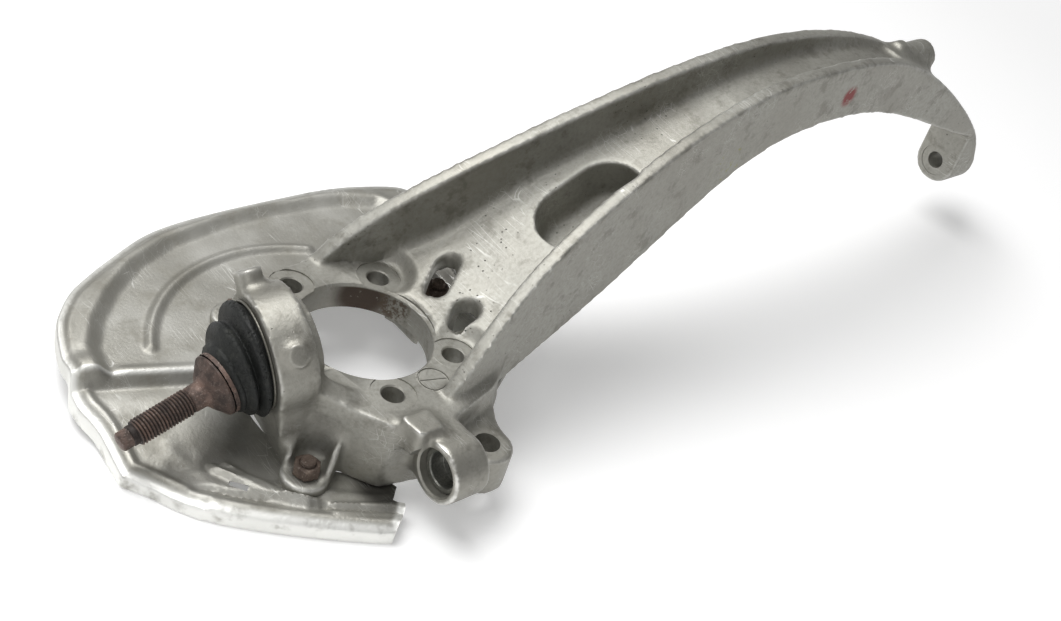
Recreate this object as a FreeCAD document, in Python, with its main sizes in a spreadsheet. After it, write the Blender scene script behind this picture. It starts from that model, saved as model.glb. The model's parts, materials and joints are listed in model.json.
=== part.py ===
import FreeCAD, Part
import math
import os
import Sketcher

from FreeCAD import Placement, Rotation, Vector

# Steering knuckle, lying with its inboard side up. Millimetres.
# The origin is the centre of the hub bore on the inboard face of the hub flange.
# +Z is the hub axis, inboard. +X runs along the swan neck. -X is the ball-joint side.

SIZES = [
    # hub flange
    ("hub_bore_d", 75.6, "bearing bore"),
    ("flange_t", 16.0, "thickness of the hub flange"),
    ("flange_d", 122.0, "outside of the hub flange"),
    ("bolt_circle_d", 97.8, "circle of the four hub bolts"),
    ("bolt_d", 12.5, "clearance hole for a hub bolt"),
    ("bolt_angle_neck", 44.5, "hub bolts on the neck side, from +X"),
    ("bolt_angle_joint", 108.5, "hub bolts on the joint side, from +X"),
    ("spot_d", 25.0, "spot face round a bolt hole"),
    ("bore_relief", 1.5, "clearance round the hub bore above the hub face"),
    ("sensor_floor_t", 5.0, "floor of the pocket under the sensor slot"),
    ("head_room_d", 20.0, "room for a bolt head behind the flange"),
    ("spot_depth", 0.8, "depth of a spot face"),
    # skirt under the flange
    ("skirt_depth", 44.0, "depth of the skirt on the near side"),
    ("far_skirt_depth", 27.0, "depth of the skirt on the far side"),
    # swan neck, at its stations from the hub outwards
    ("root_along", 8.0, "where the flange tops leave the hub face"),
    ("rise_along", 58.0, "station on the rise"),
    ("dish_along", 117.0, "station at the pocket"),
    ("back_along", 182.0, "station past the pocket"),
    ("crest_along", 255.0, "station before the crest"),
    ("crown_along", 320.0, "station at the crest"),
    ("shoulder_along", 395.0, "station where the channel ends"),
    ("bend_along", 464.0, "station in the downward bend"),
    ("hook_along", 520.0, "station above the end boss"),
    ("tip_along", 557.0, "end of the hook"),
    ("rise_top", 46.0, "flange top above the hub face"),
    ("dish_top", 78.0, "flange top"),
    ("back_top", 103.5, "flange top"),
    ("crest_top", 121.5, "flange top"),
    ("crown_top", 124.0, "flange top"),
    ("shoulder_top", 111.5, "flange top"),
    ("bend_top", 80.0, "flange top"),
    ("hook_top", 43.0, "flange top"),
    ("dish_low", 0.0, "lower edge of the neck"),
    ("back_low", 33.0, "lower edge of the neck"),
    ("crest_low", 74.0, "lower edge of the neck"),
    ("crown_low", 85.0, "lower edge of the neck"),
    ("shoulder_low", 74.0, "lower edge of the neck"),
    ("bend_low", 50.0, "lower edge of the neck"),
    ("root_half", 64.0, "half width over the flanges"),
    ("rise_half", 51.0, "half width over the flanges"),
    ("dish_half", 39.0, "half width over the flanges"),
    ("back_half", 30.5, "half width over the flanges"),
    ("crest_half", 25.0, "half width over the flanges"),
    ("crown_half", 23.0, "half width over the flanges"),
    ("shoulder_half", 18.5, "half width over the flanges"),
    ("hook_half", 16.2, "half width over the flanges"),
    ("neck_flange_t", 9.0, "thickness of each neck flange"),
    ("web_t", 12.0, "thickness of the web between the flanges"),
    ("rise_web", 9.0, "web above the hub face"),
    ("dish_web", 45.0, "web above the hub face"),
    ("back_web", 77.0, "web above the hub face"),
    ("crest_web", 104.0, "web above the hub face"),
    ("crown_web", 113.0, "web above the hub face"),
    ("shoulder_web", 107.0, "web above the hub face"),
    # pocket and holes in the web
    ("dish_x", 138.0, "middle of the pocket along the neck"),
    ("dish_y", -8.0, "middle of the pocket across the neck"),
    ("dish_len", 68.0, "length of the pocket"),
    ("dish_w", 40.0, "width of the pocket"),
    ("dish_z", 57.0, "web at the pocket's middle"),
    ("dish_slope", 27.0, "pocket leans with the web"),
    ("dish_depth", 28.0, "depth of the pocket"),
    ("dish_wall", 6.0, "wall round the pocket, under the web"),
    ("slot_start_x", 54.0, "sensor slot, end near the hub"),
    ("slot_start_y", 8.0, "sensor slot, end near the hub"),
    ("slot_end_x", 68.0, "sensor slot, far end"),
    ("slot_end_y", 17.0, "sensor slot, far end"),
    ("slot_w", 12.5, "width of the sensor slot"),
    ("egg_big_x", 57.0, "egg-shaped hole, wide end"),
    ("egg_big_y", -15.0, "egg-shaped hole, wide end"),
    ("egg_big_r", 7.5, "egg-shaped hole, wide end"),
    ("egg_small_x", 48.5, "egg-shaped hole, narrow end"),
    ("egg_small_y", -18.5, "egg-shaped hole, narrow end"),
    ("egg_small_r", 5.0, "egg-shaped hole, narrow end"),
    ("gate_x", 11.0, "round mark left by the casting mould"),
    ("gate_y", -46.5, "round mark left by the casting mould"),
    ("gate_d", 17.5, "round mark left by the casting mould"),
    ("gate_groove", 0.7, "width and depth of the mark's groove"),
    # end boss of the hook
    ("hook_back_x", 13.0, "hook's back, before its end"),
    ("hook_back_z", 26.0, "hook's back, above the boss axis"),
    ("hook_inside_z", 31.0, "hook's inside corner, above the boss axis"),
    ("tip_boss_d", 32.5, "boss for the upper ball joint"),
    ("tip_boss_z", -4.5, "axis of the boss above the hub face"),
    ("tip_boss_start", 530.0, "face of the boss that looks to the hub"),
    ("tip_bore_d", 12.4, "bore for the upper ball joint's pin"),
    ("tip_face_d", 23.0, "machined ring round the bore"),
    ("line_boss_d", 22.0, "boss for a line bracket on the neck's back"),
    ("line_boss_start", 415.0, "line boss, start"),
    ("line_boss_end", 449.0, "line boss, end"),
    ("line_boss_y", 5.0, "line boss, off the middle"),
    ("line_boss_z", 96.0, "line boss, above the hub face"),
    ("line_block_start", 407.0, "block before the line boss, start"),
    ("line_block_w", 16.0, "block before the line boss, width"),
    ("line_chamfer", 5.0, "chamfer of the block"),
    ("line_hole_d", 8.0, "hole in the line boss"),
    ("line_hole_depth", 16.0, "depth of the hole in the line boss"),
    ("tip_face_depth", 0.6, "depth of the machined ring"),
    # tie-rod boss
    ("tie_d", 34.5, "tie-rod boss"),
    ("tie_start", -18.0, "face of the tie-rod boss, from the hub axis"),
    ("tie_len", 23.0, "length of the tie-rod boss"),
    ("tie_y", -91.0, "axis of the tie-rod boss"),
    ("tie_z", -16.0, "axis of the tie-rod boss"),
    ("tie_bore_d", 26.0, "bore of the tie-rod boss"),
    ("tie_floor_t", 5.0, "shoulder left at the end of that bore"),
    ("sleeve_bore_d", 19.0, "bore of the steel sleeve"),
    ("sleeve_setback", 5.0, "sleeve's depth under the boss face"),
    # caliper lugs
    ("lug_a_x", 21.7, "caliper lug beside the tie-rod boss"),
    ("lug_a_y", -85.5, "caliper lug beside the tie-rod boss"),
    ("lug_b_x", 118.0, "caliper lug under the neck"),
    ("lug_b_y", -20.0, "caliper lug under the neck"),
    ("lug_d", 29.0, "caliper lug"),
    ("lug_top", -15.0, "top of the first caliper lug"),
    ("lug_t", 24.0, "thickness of a caliper lug"),
    ("lug_bore_d", 14.0, "bore of a caliper lug"),
    ("lug_b_low", 3.0, "lower face of the second caliper lug"),
    ("lug_b_len", 25.0, "length of the second caliper lug, into the neck"),
    ("lug_b_bore_len", 30.0, "depth of the second caliper lug's bore"),
    ("lug_web_t", 9.0, "thickness of the web from the near wall to the first caliper lug"),
    # lower ball joint
    ("ball_x", -59.0, "ball centre"),
    ("ball_y", -1.0, "ball centre"),
    ("ball_z", 7.0, "ball centre"),
    ("joint_yaw", 169.0, "barrel axis, turned from +X"),
    ("joint_pitch", 12.0, "barrel axis, leaning outboard"),
    ("stud_yaw", 182.4, "stud at rest, turned from +X"),
    ("stud_pitch", 18.0, "stud at rest, leaning outboard"),
    ("barrel_d", 68.0, "outside of the barrel"),
    ("barrel_front", 11.5, "barrel face, from the ball centre"),
    ("barrel_back", 10.5, "barrel's hub side, from the ball centre"),
    ("apron_w", 64.0, "width of the apron under the barrel"),
    ("apron_t", 14.0, "thickness of the apron under the barrel"),
    ("wall_rise", 10.0, "rise of the near wall towards the barrel"),
    ("wall_t", 14.0, "thickness of the near wall"),
    ("ball_d", 25.0, "ball of the stud"),
    ("seat_d", 33.0, "plastic seat"),
    ("seat_front", 7.0, "seat's front end, from the ball centre"),
    ("seat_back", 13.5, "seat's back end, from the ball centre"),
    ("cup_d", 46.0, "boss round the cover on the hub side"),
    ("cup_back", 17.2, "end of that boss, from the ball centre"),
    ("knob_d", 15.0, "knob on top of the barrel"),
    ("knob_reach", 43.0, "knob's end, from the barrel axis"),
    ("knob_at", 4.5, "knob, from the ball centre"),
    ("knob_angle", 130.0, "knob, turned round the barrel"),
    ("pad_d", 13.0, "round pad on the barrel's side"),
    ("pad_reach", 36.5, "pad's face, from the barrel axis"),
    ("pad_angle", 37.0, "pad, turned round the barrel"),
    ("mouth_d", 30.0, "opening in the barrel's front lip"),
    ("cover_d", 36.0, "cover on the hub side"),
    ("cover_t", 1.6, "thickness of the cover"),
    ("ring_t", 1.0, "thickness of the snap ring"),
    ("ring_w", 2.5, "width of the snap ring"),
    ("fit_gap", 0.05, "clearance of a close fit"),
    # ball stud
    ("neck_d", 13.0, "stud beside the ball"),
    ("neck_end_d", 16.0, "stud under the boot's lip"),
    ("collar_d", 33.0, "collar"),
    ("collar_at", 36.0, "collar's back, from the ball centre"),
    ("collar_rim", 1.8, "straight rim of the collar"),
    ("collar_cone", 6.0, "length of the collar's cone"),
    ("collar_end_d", 18.0, "small end of the collar's cone"),
    ("thread_d", 14.0, "thread M14"),
    ("thread_start", 52.0, "start of the thread"),
    ("thread_end", 83.5, "end of the thread"),
    ("groove_d", 11.0, "groove behind the thread"),
    ("groove_w", 2.5, "width of the groove"),
    ("shank_d", 13.4, "plain shank"),
    ("stud_len", 92.0, "stud's tip, from the ball centre"),
    ("tip_hex", 9.0, "hexagonal end, across flats"),
    # rubber boot
    ("boot_base_d", 55.0, "boot's wide end"),
    ("boot_fold_one_d", 61.0, "first fold"),
    ("boot_waist_d", 46.8, "waist between the folds"),
    ("boot_fold_two_d", 48.0, "second fold"),
    ("boot_lip_d", 31.0, "boot's lip"),
    ("boot_wall", 2.2, "boot's wall"),
    ("boot_gap", 0.3, "clearance between the boot and hard pieces"),
    ("boot_ring_wire", 1.6, "wire of the wide boot ring"),
    ("lip_ring_w", 2.2, "width of the small boot ring"),
    ("lip_ring_t", 1.0, "thickness of the small boot ring"),
    # dust shield
    ("sheet_t", 1.4, "sheet of the dust shield"),
    ("panel_z", -30.0, "top of the far panel"),
    ("low_panel_z", -44.0, "top of the near panel"),
    ("rim_step", 4.0, "height of the rim over the far panel"),
    ("far_lip", 8.0, "turned-down edge of the far panel"),
    ("near_lip", 8.0, "turned-down edge of the near panel"),
    ("hub_gap_d", 128.0, "opening round the hub"),
    ("bead_x", -6.0, "centre of the pressed bead"),
    ("bead_y", 14.0, "centre of the pressed bead"),
    ("bead_mid_r", 95.0, "radius of the pressed bead"),
    ("bead_w", 7.0, "width of the pressed bead"),
    ("bead_start", 62.0, "bead's near-neck end, from +X"),
    ("bead_end", 153.0, "bead's rounded end, from +X"),
    ("ridge_run", 6.0, "plan width of the slope just past the ridge"),
    ("ridge_drop", 6.0, "drop just past the ridge"),
    ("slope_run", 56.0, "distance past the ridge where the near panel gets level"),
    # shield fasteners
    ("front_lug_x", -62.5, "front shield lug"),
    ("front_lug_y", -47.5, "front shield lug"),
    ("rear_lug_x", -40.0, "rear shield lug"),
    ("rear_lug_y", 57.0, "rear shield lug"),
    ("top_lug_x", 80.0, "shield lug under the neck"),
    ("top_lug_y", 30.0, "shield lug under the neck"),
    ("shield_lug_d", 26.0, "shield lug"),
    ("shield_lug_t", 7.0, "thickness of a shield lug"),
    ("screw_d", 8.0, "shield bolt M8"),
    ("screw_hole_d", 8.4, "hole for a shield bolt"),
    ("nut_hex", 13.0, "nut and bolt head, across flats"),
    ("nut_t", 6.8, "thickness of a nut"),
    ("head_t", 5.3, "thickness of a bolt head"),
    ("screw_end", 3.0, "bolt end above the nut"),
    ("front_lug_arm", 26.0, "reach of the front lug's arm towards the hub"),
    ("rear_lug_arm", 24.0, "reach of the rear lug's arm towards the hub"),
    ("top_lug_arm", 34.0, "reach of the arm of the lug under the neck"),
    ("rib_t", 4.0, "rib beside the front lug"),
    ("rib_len", 26.0, "length of the rib in plan"),
    ("rib_top_z", -12.0, "top of the rib at the near wall"),
    ("rib_brow", 6.0, "flat top of the rib beside the wall"),
    ("rib_foot", 3.0, "height of the rib over the lug"),
]

doc = FreeCAD.newDocument("SteeringKnuckle")
sheet = doc.addObject("Spreadsheet::Sheet", "Sizes")
for row, (alias, value, note) in enumerate(SIZES, start=1):
    sheet.set("A%d" % row, alias)
    sheet.set("B%d" % row, str(value))
    sheet.set("C%d" % row, note)
    sheet.setAlias("B%d" % row, alias)
doc.recompute()


def size(alias):
    """The value of one cell, in millimetres or degrees."""
    return float(sheet.get(alias))


def bind(obj, expressions):
    """Tie an object's properties to cells of the sheet."""
    for prop, text in expressions.items():
        obj.setExpression(prop, text)
    return obj


def axis_vector(yaw, pitch):
    """Unit vector turned by yaw from +X and leaning by pitch towards -Z."""
    flat = math.cos(math.radians(pitch))
    return Vector(
        flat * math.cos(math.radians(yaw)),
        flat * math.sin(math.radians(yaw)),
        -math.sin(math.radians(pitch)),
    )


def turned_to(direction):
    """Rotation that takes +Z to a direction."""
    return Rotation(Vector(0, 0, 1), direction)


def cylinder(name, diameter, height, base, rotation=None):
    """A cylinder whose diameter, height and base point follow the sheet."""
    obj = doc.addObject("Part::Cylinder", name)
    if rotation is not None:
        obj.Placement = Placement(Vector(0, 0, 0), rotation)
    bind(obj, {"Radius": "(%s) / 2" % diameter, "Height": height})
    for letter, text in zip("xyz", base):
        obj.setExpression("Placement.Base.%s" % letter, text)
    return obj


def box(name, lengths, base):
    """A box whose lengths and corner follow the sheet."""
    obj = doc.addObject("Part::Box", name)
    for prop, text in zip(("Length", "Width", "Height"), lengths):
        obj.setExpression(prop, text)
    for letter, text in zip("xyz", base):
        obj.setExpression("Placement.Base.%s" % letter, text)
    return obj


def solid(name, shape):
    """A shape made with Part's own functions, kept in the document."""
    obj = doc.addObject("Part::Feature", name)
    obj.Shape = shape
    return obj


def fuse(name, parts):
    obj = doc.addObject("Part::MultiFuse", name)
    obj.Shapes = parts
    obj.Refine = True
    return obj


def joined(name, parts):
    """Parts joined one after another, for pieces that share many faces."""
    doc.recompute()
    shape = parts[0].Shape
    for part in parts[1:]:
        shape = shape.fuse(part.Shape)
    return solid(name, shape)


def common(name, first, second):
    obj = doc.addObject("Part::Common", name)
    obj.Base = first
    obj.Tool = second
    return obj


def cut(name, base, tools):
    """A body less its tools."""
    if len(tools) == 1:
        tool = tools[0]
    else:
        tool = doc.addObject("Part::MultiFuse", name + "_tools")
        tool.Shapes = tools
    obj = doc.addObject("Part::Cut", name)
    obj.Base = base
    obj.Tool = tool
    return obj


def rounded_wire(points, radius):
    """A closed outline through points, with its corners rounded as far as they allow."""
    edges = []
    count = len(points)
    trims = []
    for i in range(count):
        before = (points[i - 1] - points[i]).normalize()
        after = (points[(i + 1) % count] - points[i]).normalize()
        half_turn = (math.pi - before.getAngle(after)) / 2
        shorter = min((points[i - 1] - points[i]).Length, (points[(i + 1) % count] - points[i]).Length)
        room = shorter * 0.48
        trim = min(radius * math.tan(half_turn), room)
        bulge = (before + after).normalize()
        actual = trim / math.tan(half_turn)
        distance = actual / math.cos(half_turn) - actual
        start = points[i] + before * trim
        end = points[i] + after * trim
        trims.append((start, points[i] + bulge * distance, end))
    for i in range(count):
        start, middle, end = trims[i]
        edges.append(Part.Arc(start, middle, end).toShape())
        following = trims[(i + 1) % count][0]
        if (following - end).Length > 1e-3:
            edges.append(Part.LineSegment(end, following).toShape())
    return Part.Wire(edges)


def plate(points, radius, bottom, top):
    """A flat plate with rounded corners, between two heights."""
    flat = [Vector(x, y, bottom) for x, y in points]
    return Part.Face(rounded_wire(flat, radius)).extrude(Vector(0, 0, top - bottom))


def spline(points):
    curve = Part.BSplineCurve()
    curve.interpolate(points)
    return curve.toShape()


def revolved(name, profile):
    """A turned piece: a body with one sketch, revolved about its own Z axis.

    The profile is a list of (radius, height) expressions, in order round the outline.
    """
    body = doc.addObject("PartDesign::Body", name)
    sketch = body.newObject("Sketcher::SketchObject", name + "_profile")
    plane = [f for f in body.Origin.OriginFeatures if f.Role == "XZ_Plane"][0]
    sketch.AttachmentSupport = [(plane, "")]
    sketch.MapMode = "FlatFace"
    values = []
    for radius_text, height_text in profile:
        values.append([float(sheet.evalExpression(text)) for text in (radius_text, height_text)])
    count = len(profile)
    for i in range(count):
        r0, z0 = values[i]
        r1, z1 = values[(i + 1) % count]
        sketch.addGeometry(Part.LineSegment(Vector(r0, z0, 0), Vector(r1, z1, 0)), False)
    for i in range(count):
        sketch.addConstraint(Sketcher.Constraint("Coincident", i, 2, (i + 1) % count, 1))
    for i in range(count):
        if abs(values[i][0]) < 1e-6:
            sketch.addConstraint(Sketcher.Constraint("PointOnObject", i, 1, -2))
        else:
            index = sketch.addConstraint(Sketcher.Constraint("DistanceX", -1, 1, i, 1, values[i][0]))
            sketch.setExpression("Constraints[%d]" % index, profile[i][0])
        index = sketch.addConstraint(Sketcher.Constraint("DistanceY", -1, 1, i, 1, values[i][1]))
        sketch.setExpression("Constraints[%d]" % index, profile[i][1])
    revolution = body.newObject("PartDesign::Revolution", name + "_turned")
    revolution.Profile = sketch
    revolution.ReferenceAxis = (sketch, ["V_Axis"])
    revolution.Angle = 360
    body.Tip = revolution
    doc.recompute()
    return body


# Places of the lower ball joint
BALL = Vector(size("ball_x"), size("ball_y"), size("ball_z"))
JOINT_AXIS = axis_vector(size("joint_yaw"), size("joint_pitch"))
STUD_AXIS = axis_vector(size("stud_yaw"), size("stud_pitch"))
ALONG_X = turned_to(Vector(1, 0, 0))
REACH = 400.0


def upright(direction):
    """Rotation that takes +Z to a direction and keeps +Y as near to upward as it can be."""
    up = (Vector(0, 0, 1) - direction * direction.z).normalize()
    return Rotation(up.cross(direction), up, direction, "ZXY")


IN_BARREL = Placement(BALL, upright(JOINT_AXIS))
ON_STUD = Placement(BALL, upright(STUD_AXIS))


def station(name, *letters):
    """A point of the neck: how far along it is, and another of its sizes."""
    return [size("%s_%s" % (name, letter)) for letter in letters]


# Swan neck: the side outline and the plan outline, each drawn once and crossed
NECK = ["rise", "dish", "back", "crest", "crown", "shoulder"]
BOLT_ANGLES = [
    size("bolt_angle_neck"),
    -size("bolt_angle_neck"),
    size("bolt_angle_joint"),
    -size("bolt_angle_joint"),
]


def side_point(x, z):
    return Vector(x, -REACH / 2, z)


def side_prism(edges):
    """A closed side outline, drawn on a far plane and extruded right across."""
    return Part.Face(Part.Wire(edges)).extrude(Vector(0, REACH, 0))


def neck_side():
    """Side outline of the neck, flange tops to lower edges, down to the end boss."""
    root = size("root_along")
    floor = -size("flange_t")
    tip = size("tip_along")
    boss_z = size("tip_boss_z")
    boss_face = size("tip_boss_start")
    bend_x = size("bend_along")
    tops = [side_point(root, 0)]
    tops += [side_point(*station(name, "along", "top")) for name in NECK + ["bend", "hook"]]
    tops += [side_point(tip - size("hook_back_x"), boss_z + size("hook_back_z")), side_point(tip, boss_z)]
    lows = [side_point(boss_face, boss_z + size("hook_inside_z")), side_point(bend_x, size("bend_low"))]
    lows += [side_point(*station(name, "along", "low")) for name in NECK[:0:-1]]
    lows.append(side_point(size("rise_along"), floor))
    corner = side_point(root, floor)
    boss_corner = side_point(boss_face, boss_z)
    return side_prism([
        spline(tops),
        Part.LineSegment(tops[-1], boss_corner).toShape(),
        Part.LineSegment(boss_corner, lows[0]).toShape(),
        spline(lows),
        Part.LineSegment(lows[-1], corner).toShape(),
        Part.LineSegment(corner, tops[0]).toShape(),
    ])


def neck_plan(inset, start, end):
    """Plan outline of the neck, set in by a wall and cut off at two stations."""
    stations = [(size("root_along") - 30, size("root_half"))]
    stations += [(size("root_along"), size("root_half"))]
    stations += [tuple(station(name, "along", "half")) for name in NECK]
    stations += [(size("hook_along"), size("hook_half")), (size("tip_along") + 30, size("hook_half"))]
    left = [Vector(x, half - inset, -REACH / 2) for x, half in stations]
    right = [Vector(v.x, -v.y, v.z) for v in reversed(left)]
    outline = Part.Wire([
        spline(left),
        Part.LineSegment(left[-1], right[0]).toShape(),
        spline(right),
        Part.LineSegment(right[-1], left[0]).toShape(),
    ])
    prism = Part.Face(outline).extrude(Vector(0, 0, REACH))
    window = Part.makeBox(end - start, REACH, REACH, Vector(start, -REACH / 2, -REACH / 2))
    return prism.common(window)


def web_line(drop):
    """The web's upper face seen from the side, lowered by a drop."""
    points = [side_point(size("root_along") - 40, -drop), side_point(size("root_along") + 14, -drop)]
    points += [side_point(x, z - drop) for x, z in (station(name, "along", "web") for name in NECK)]
    points.append(side_point(size("bend_along"), size("bend_low") + 20 - drop))
    return points


def above_web():
    line = web_line(0)
    high_end = Vector(line[-1].x, line[-1].y, REACH)
    high_start = Vector(line[0].x, line[0].y, REACH)
    return side_prism([
        spline(line),
        Part.LineSegment(line[-1], high_end).toShape(),
        Part.LineSegment(high_end, high_start).toShape(),
        Part.LineSegment(high_start, line[0]).toShape(),
    ])


def below_web():
    line = web_line(size("web_t"))
    low_end = Vector(line[-1].x, line[-1].y, -REACH)
    low_start = Vector(line[0].x, line[0].y, -REACH)
    return side_prism([
        spline(line),
        Part.LineSegment(line[-1], low_end).toShape(),
        Part.LineSegment(low_end, low_start).toShape(),
        Part.LineSegment(low_start, line[0]).toShape(),
    ])


def swan_neck():
    wall = size("neck_flange_t")
    shoulder = size("shoulder_along")
    whole = common(
        "neck_block",
        solid("neck_side", neck_side()),
        solid("neck_plan", neck_plan(0, size("root_along") - 20, size("tip_along") + 20)),
    )
    channel = common(
        "neck_channel",
        solid("above_web", above_web()),
        solid("channel_plan", neck_plan(wall, size("root_along") - 10, shoulder + 5)),
    )
    hollow = common(
        "neck_hollow",
        solid("below_web", below_web()),
        solid("hollow_plan", neck_plan(wall + 1, size("root_along") + 44, shoulder)),
    )
    return cut("swan_neck", whole, [channel, hollow])


# Hub flange and skirts
FLANGE_PLAN = [
    (-62, -27), (-52, -36), (-42, -50), (-30, -68), (5, -74), (40, -64),
    (60, -50), (60, 50), (12, 64), (-25, 54), (-56, 37),
]
NEAR_SKIRT = [
    (-96, -18), (-62, -27), (-52, -36), (-42, -50), (-30, -68), (5, -74), (40, -64), (58, -51),
    (50, -42), (36, -54), (4, -64), (-23, -58), (-34, -42), (-52, -22), (-90, -10),
]
NEAR_WALL = [(-42, -50), (-68, -19)]
FAR_SKIRT = [
    (-86, 33), (-56, 37), (-25, 54), (12, 64), (58, 51),
    (50, 42), (11, 54), (-21, 44), (-52, 27), (-84, 23),
]

# Plans of the smaller blocks
STEP_PLAN = [(-27, -64), (-25, -81), (-8, -81), (-8, -64)]
STEP_LOW = -14
STEP_TOP = 4
GUSSET_PLAN = [(2, -88), (21, -99), (35, -87), (42, -66), (62, -50), (36, -44), (2, -60)]
LUG_WEB = [(38, -50), (28, -84)]
RISER_PLAN = [(46, 2), (46, 30), (56, 34), (60, 8)]
RISER_TOP = -10
SENSOR_FLOOR_PLAN = [(52, -38), (52, 24), (70, 36), (90, 30), (94, 0), (90, -32), (60, -50)]
ROOT_INNER_Y = -62

# Each shield lug's place and the height of its lower face
LUG_FLOORS = [("front", "-Sizes.skirt_depth"), ("rear", "Sizes.panel_z"), ("top", "Sizes.panel_z")]


def hub_flange():
    disc = cylinder("flange_disc", "Sizes.flange_d", "Sizes.flange_t", ("0", "0", "-Sizes.flange_t"))
    web = solid("flange_web", plate(FLANGE_PLAN, 14, -size("flange_t"), 0))
    near = solid("near_skirt", plate(NEAR_SKIRT, 7, -size("skirt_depth"), -1))
    far = solid("far_skirt", plate(FAR_SKIRT, 7, -size("far_skirt_depth"), -1))
    return [disc, web, near, far]


def barrel():
    """Barrel of the lower ball joint, its boss on the hub side, and the apron under it."""
    front = size("barrel_front")
    back = size("barrel_back")
    radius = size("barrel_d") / 2
    tube = Part.makeCylinder(radius, front + back, Vector(0, 0, -back))
    cup = Part.makeCylinder(size("cup_d") / 2, size("cup_back") - 5, Vector(0, 0, -size("cup_back")))
    width = size("apron_w")
    drop = size("skirt_depth") + size("ball_z") + 8
    apron = Part.makeBox(width, drop, size("apron_t"), Vector(-width / 2, -drop, front - size("apron_t")))
    shapes = [cup, apron]
    for name, at in (("knob", size("knob_at")), ("pad", 0)):
        angle = math.radians(size(name + "_angle"))
        outward = Vector(math.cos(angle), math.sin(angle), 0)
        root = radius - 8
        base = outward * root + Vector(0, 0, at)
        shapes.append(Part.makeCylinder(size(name + "_d") / 2, size(name + "_reach") - root, base, outward))
    shape = tube.fuse(shapes)
    shape.Placement = IN_BARREL
    below = Part.makeBox(REACH, REACH, REACH, Vector(-REACH / 2, -REACH / 2, -REACH - size("skirt_depth")))
    return solid("barrel", shape.cut(below))


def wall_shoulder():
    """The near wall rises from the hub face to the barrel."""
    start = Vector(*NEAR_WALL[0], 0)
    end = Vector(*NEAR_WALL[1], 0)
    inward = Vector(start.y - end.y, end.x - start.x, 0).normalize() * -size("wall_t")
    rise = Vector(0, 0, size("wall_rise"))
    points = [start, end + rise, end - rise, start - rise]
    return solid("wall_shoulder", Part.Face(Part.makePolygon(points + points[:1])).extrude(inward))


def tie_rod_boss():
    base = ("Sizes.tie_start", "Sizes.tie_y", "Sizes.tie_z")
    boss = cylinder("tie_boss", "Sizes.tie_d", "Sizes.tie_len", base, ALONG_X)
    start = size("tie_start") + 2
    end = size("tie_start") + size("tie_len")
    outer = size("tie_y")
    half = size("tie_d") / 2 - 1
    plan = [(start, ROOT_INNER_Y), (start, outer), (end, outer), (end, ROOT_INNER_Y)]
    root = solid("tie_root", plate(plan, 3, size("tie_z") - half, size("tie_z") + half))
    step = solid("step_block", plate(STEP_PLAN, 4, STEP_LOW, STEP_TOP))
    return [boss, root, step]


def caliper_lugs():
    """The two lugs, and the gusset and web that carry the first."""
    first_base = ("Sizes.lug_a_x", "Sizes.lug_a_y", "Sizes.lug_top - Sizes.lug_t")
    first = cylinder("lug_a", "Sizes.lug_d", "Sizes.lug_t", first_base)
    second_base = ("Sizes.lug_b_x", "Sizes.lug_b_y", "Sizes.lug_b_low")
    second = cylinder("lug_b", "Sizes.lug_d", "Sizes.lug_b_len", second_base)
    low = size("lug_top") - size("lug_t")
    high = size("lug_top") - 1
    gusset = solid("lug_gusset", plate(GUSSET_PLAN, 5, low, high))
    start = Vector(*LUG_WEB[0], 0)
    end = Vector(*LUG_WEB[1], 0)
    profile = [(0, -2), (0.35, -6), (0.7, high), (1, high - 4), (0, low)]
    points = [start + (end - start) * share + Vector(0, 0, height) for share, height in profile]
    sideways = Vector(size("lug_web_t"), size("lug_web_t") / 4, 0)
    web = Part.Face(Part.makePolygon(points + points[:1])).extrude(sideways)
    return [first, second, gusset, solid("lug_web", web)]


def shield_lug(name, bottom):
    """An ear for a shield bolt, with an arm that reaches in to the skirt."""
    base = ("Sizes.%s_x" % name, "Sizes.%s_y" % name, bottom)
    ear = cylinder(name, "Sizes.shield_lug_d", "Sizes.shield_lug_t", base)
    centre = Vector(size(name + "_x"), size(name + "_y"), 0)
    inward = Vector(-centre.x, -centre.y, 0).normalize()
    across = Vector(-inward.y, inward.x, 0) * (size("shield_lug_d") / 2)
    reach = inward * size(name + "_arm")
    low = float(sheet.evalExpression(bottom))
    corners = [centre + across, centre - across, centre - across + reach, centre + across + reach]
    plan = [(p.x, p.y) for p in corners]
    arm = solid(name + "_arm", plate(plan, 0.5, low, low + size("shield_lug_t")))
    return [ear, arm]


def lug_ribs():
    """The two ribs that stand beside the front shield lug."""
    centre = Vector(size("front_lug_x"), size("front_lug_y"), 0)
    inward = Vector(-centre.x, -centre.y, 0).normalize()
    across = Vector(-inward.y, inward.x, 0)
    low = -size("skirt_depth") + 1
    thick = size("rib_t")
    length = size("rib_len")
    top = size("rib_top_z")
    ribs = []
    for number, side in enumerate((-1, 1)):
        start = centre + across * (side * (size("shield_lug_d") / 2 - thick / 2) - thick / 2)
        points = [
            start + Vector(0, 0, low),
            start + inward * length + Vector(0, 0, low),
            start + inward * length + Vector(0, 0, top),
            start + inward * (length - size("rib_brow")) + Vector(0, 0, top - 2),
            start + Vector(0, 0, low + size("shield_lug_t") + size("rib_foot")),
        ]
        face = Part.Face(Part.makePolygon(points + points[:1]))
        ribs.append(solid("lug_rib_%d" % number, face.extrude(across * thick)))
    return ribs


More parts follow.
